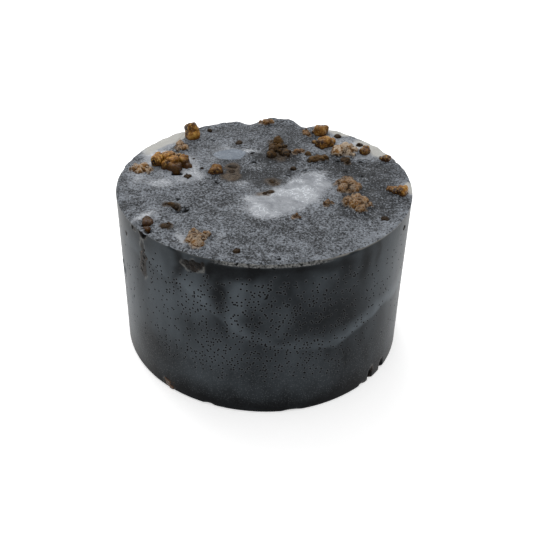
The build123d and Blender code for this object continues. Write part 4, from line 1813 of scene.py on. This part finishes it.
def wall_inclusions(size: PuckSize) -> list[WallInclusion]:
    """Every grain and smear of the wall.

    Each has its spots as angle in degrees, height and radius in mm, then how far they are sunk
    as a share of the radius, and its seed.
    """
    top = size.top
    return [
        WallInclusion("rust_smear", Resin.RUST, size, (
            (-27.2, top - 2.3, 0.65), (-25.2, top - 3.1, 0.75), (-22.6, top - 2.5, 0.8),
            (-20.6, top - 1.9, 0.55), (-24.3, top - 1.9, 0.5), (-26.3, top - 3.6, 0.35),
        ), 0.35, 31),
        WallInclusion("brown_trail", Resin.RUST, size, (
            (-50.5, top - 10.0, 0.45), (-49.5, top - 8.4, 0.55), (-48.7, top - 6.4, 0.55),
            (-48.0, top - 4.6, 0.45),
        ), 0.8, 32),
        WallInclusion("wall_specks", Resin.RUST, size, (
            (-62.0, top - 4.6, 0.6), (-55.5, top - 1.2, 0.6), (66.0, top - 3.2, 0.7),
        ), 0.5, 33),
        WallInclusion("bottom_grain", Resin.AMBER, size, (
            (-39.0, 1.5, 0.8), (-37.4, 0.8, 0.6), (-40.4, 2.1, 0.5),
        ), 0.4, 34),
    ]


# Outlines of the pools as shares of the puck's radius, each one round its CAD pool.
POOL_OUTLINES: dict[str, Sequence[tuple[float, float]]] = {
    "white_pool_centre": (
        (-0.14, -0.33), (-0.08, -0.50), (0.10, -0.48), (0.26, -0.36), (0.42, -0.27),
        (0.47, -0.08), (0.38, 0.07), (0.22, 0.08), (0.13, -0.06), (0.05, -0.22),
    ),
    "white_pool_left": (
        (-0.97, 0.02), (-0.78, -0.13), (-0.60, -0.10), (-0.47, 0.06), (-0.50, 0.22),
        (-0.68, 0.33), (-0.90, 0.24),
    ),
    "white_pool_back_left": (
        (-0.92, 0.38), (-0.78, 0.40), (-0.66, 0.56), (-0.60, 0.78), (-0.72, 0.68), (-0.86, 0.50),
    ),
    "white_pool_back_right": (
        (0.68, 0.46), (0.84, 0.36), (0.93, 0.36), (0.86, 0.50), (0.74, 0.66), (0.66, 0.60),
    ),
    "white_pool_back": (
        (0.50, 0.70), (0.60, 0.72), (0.66, 0.74), (0.56, 0.82), (0.50, 0.86),
    ),
    "white_chip_right": (
        (0.95, -0.02), (0.975, -0.14), (0.985, 0.02), (0.97, 0.05),
    ),
    "blue_grey_patch": (
        (-0.40, 0.40), (-0.32, 0.29), (-0.17, 0.31), (-0.12, 0.44), (-0.24, 0.50),
    ),
}


# ---- Stage -----------------------------------------------------------------

@dataclass
class Studio:
    """Pale floor, soft light and the camera: metres, but for the camera's place in mm."""

    size: PuckSize
    floor_half: float = 3.0
    floor_glow: float = 0.5
    sky: float = 0.7
    lamp_place: Place = (-0.10, 0.25, 0.45)
    lamp_side: float = 0.30
    lamp_watts: float = 1.3
    lens_mm: float = 54.60
    sensor_mm: float = 36.0
    camera_mm: Place = (0.77, -154.85, 121.22)
    camera_right: Place = (0.99981, 0.01091, 0.01599)
    camera_up: Place = (-0.01936, 0.56346, 0.82591)
    camera_forward: Place = (0.0, 0.82607, -0.56357)

    def floor(self) -> None:
        """Lay the plain pale floor, a sheet of paper lit softly from below."""
        mesh = bpy.data.meshes.new("floor")
        half = self.floor_half
        corners = [(-half, -half, 0.0), (half, -half, 0.0), (half, half, 0.0), (-half, half, 0.0)]
        mesh.from_pydata(corners, [], [(0, 1, 2, 3)])
        sheet = bpy.data.objects.new("floor", mesh)
        bpy.context.scene.collection.objects.link(sheet)
        bench = Bench("floor_paper")
        fibre = bench.noise(0.05, detail=2.0)
        paper = bench.mix(fibre, (0.90, 0.90, 0.90), (0.94, 0.94, 0.94))
        glow = {"Emission_Color": (1.0, 1.0, 1.0, 1.0), "Emission_Strength": self.floor_glow}
        mesh.materials.append(bench.surface(paper, 0.7, bench.bump(fibre, 0.02, 0.2), **glow))

    def world(self) -> None:
        """Even pale surroundings."""
        world = bpy.data.worlds.new("studio")
        world.use_nodes = True
        shade = world.node_tree.nodes["Background"]
        shade.inputs["Color"].default_value = (1.0, 1.0, 1.0, 1.0)
        shade.inputs["Strength"].default_value = self.sky
        bpy.context.scene.world = world

    def lamp(self) -> None:
        """Square soft light that faces the middle of the puck's top."""
        data = bpy.data.lights.new("key", "AREA")
        data.size = self.lamp_side
        data.energy = self.lamp_watts
        lamp = bpy.data.objects.new("key", data)
        spot = np.array(self.lamp_place)
        way = spot - np.array([0.0, 0.0, self.size.top * MM])
        flat = math.hypot(way[0], way[1])
        lamp.location = spot
        lamp.rotation_euler = (math.atan2(flat, way[2]), 0.0, math.atan2(way[0], -way[1]))
        bpy.context.scene.collection.objects.link(lamp)

    def camera(self) -> None:
        """Camera a hand's length away, looking down on the front of the puck."""
        data = bpy.data.cameras.new("camera")
        data.lens = self.lens_mm
        data.sensor_width = self.sensor_mm
        data.clip_start = 0.01
        camera = bpy.data.objects.new("camera", data)
        backward = [-part for part in self.camera_forward]
        turned = Matrix((self.camera_right, self.camera_up, backward)).transposed()
        place = Matrix.Translation([part * MM for part in self.camera_mm])
        camera.matrix_world = place @ turned.to_quaternion().to_matrix().to_4x4()
        bpy.context.scene.collection.objects.link(camera)
        bpy.context.scene.camera = camera

    def make(self) -> None:
        """Set the whole stage."""
        self.floor()
        self.world()
        self.lamp()
        self.camera()
        bpy.context.scene.view_settings.view_transform = "Standard"


def main() -> None:
    """Build the puck from the bottom up, then its stage."""
    logging.basicConfig(level=logging.INFO, format="%(message)s")
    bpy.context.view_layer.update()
    size = PuckSize.from_frame()
    Studio(size).make()
    look = WallLook(size, PourLine(size), MouldWall(size))
    PouredBody(size, look).make()
    clusters = resin_clusters(size)
    face = TopFace(size, domes=[dome for cluster in clusters for dome in cluster.domes()])
    FrothCrust(size, face, look).make()
    for node, outline in POOL_OUTLINES.items():
        blue = node == "blue_grey_patch"
        slot = "blue_grey_soap" if blue else "white_soap"
        MilkPool(node, face, size, outline, slot, calm=BLUE_CALM if blue else 0.0).make()
    for cluster in clusters:
        cluster.make()
    ScatteredGrains(size).make()
    for inclusion in wall_inclusions(size):
        inclusion.make()


if __name__ == "__main__":
    main()
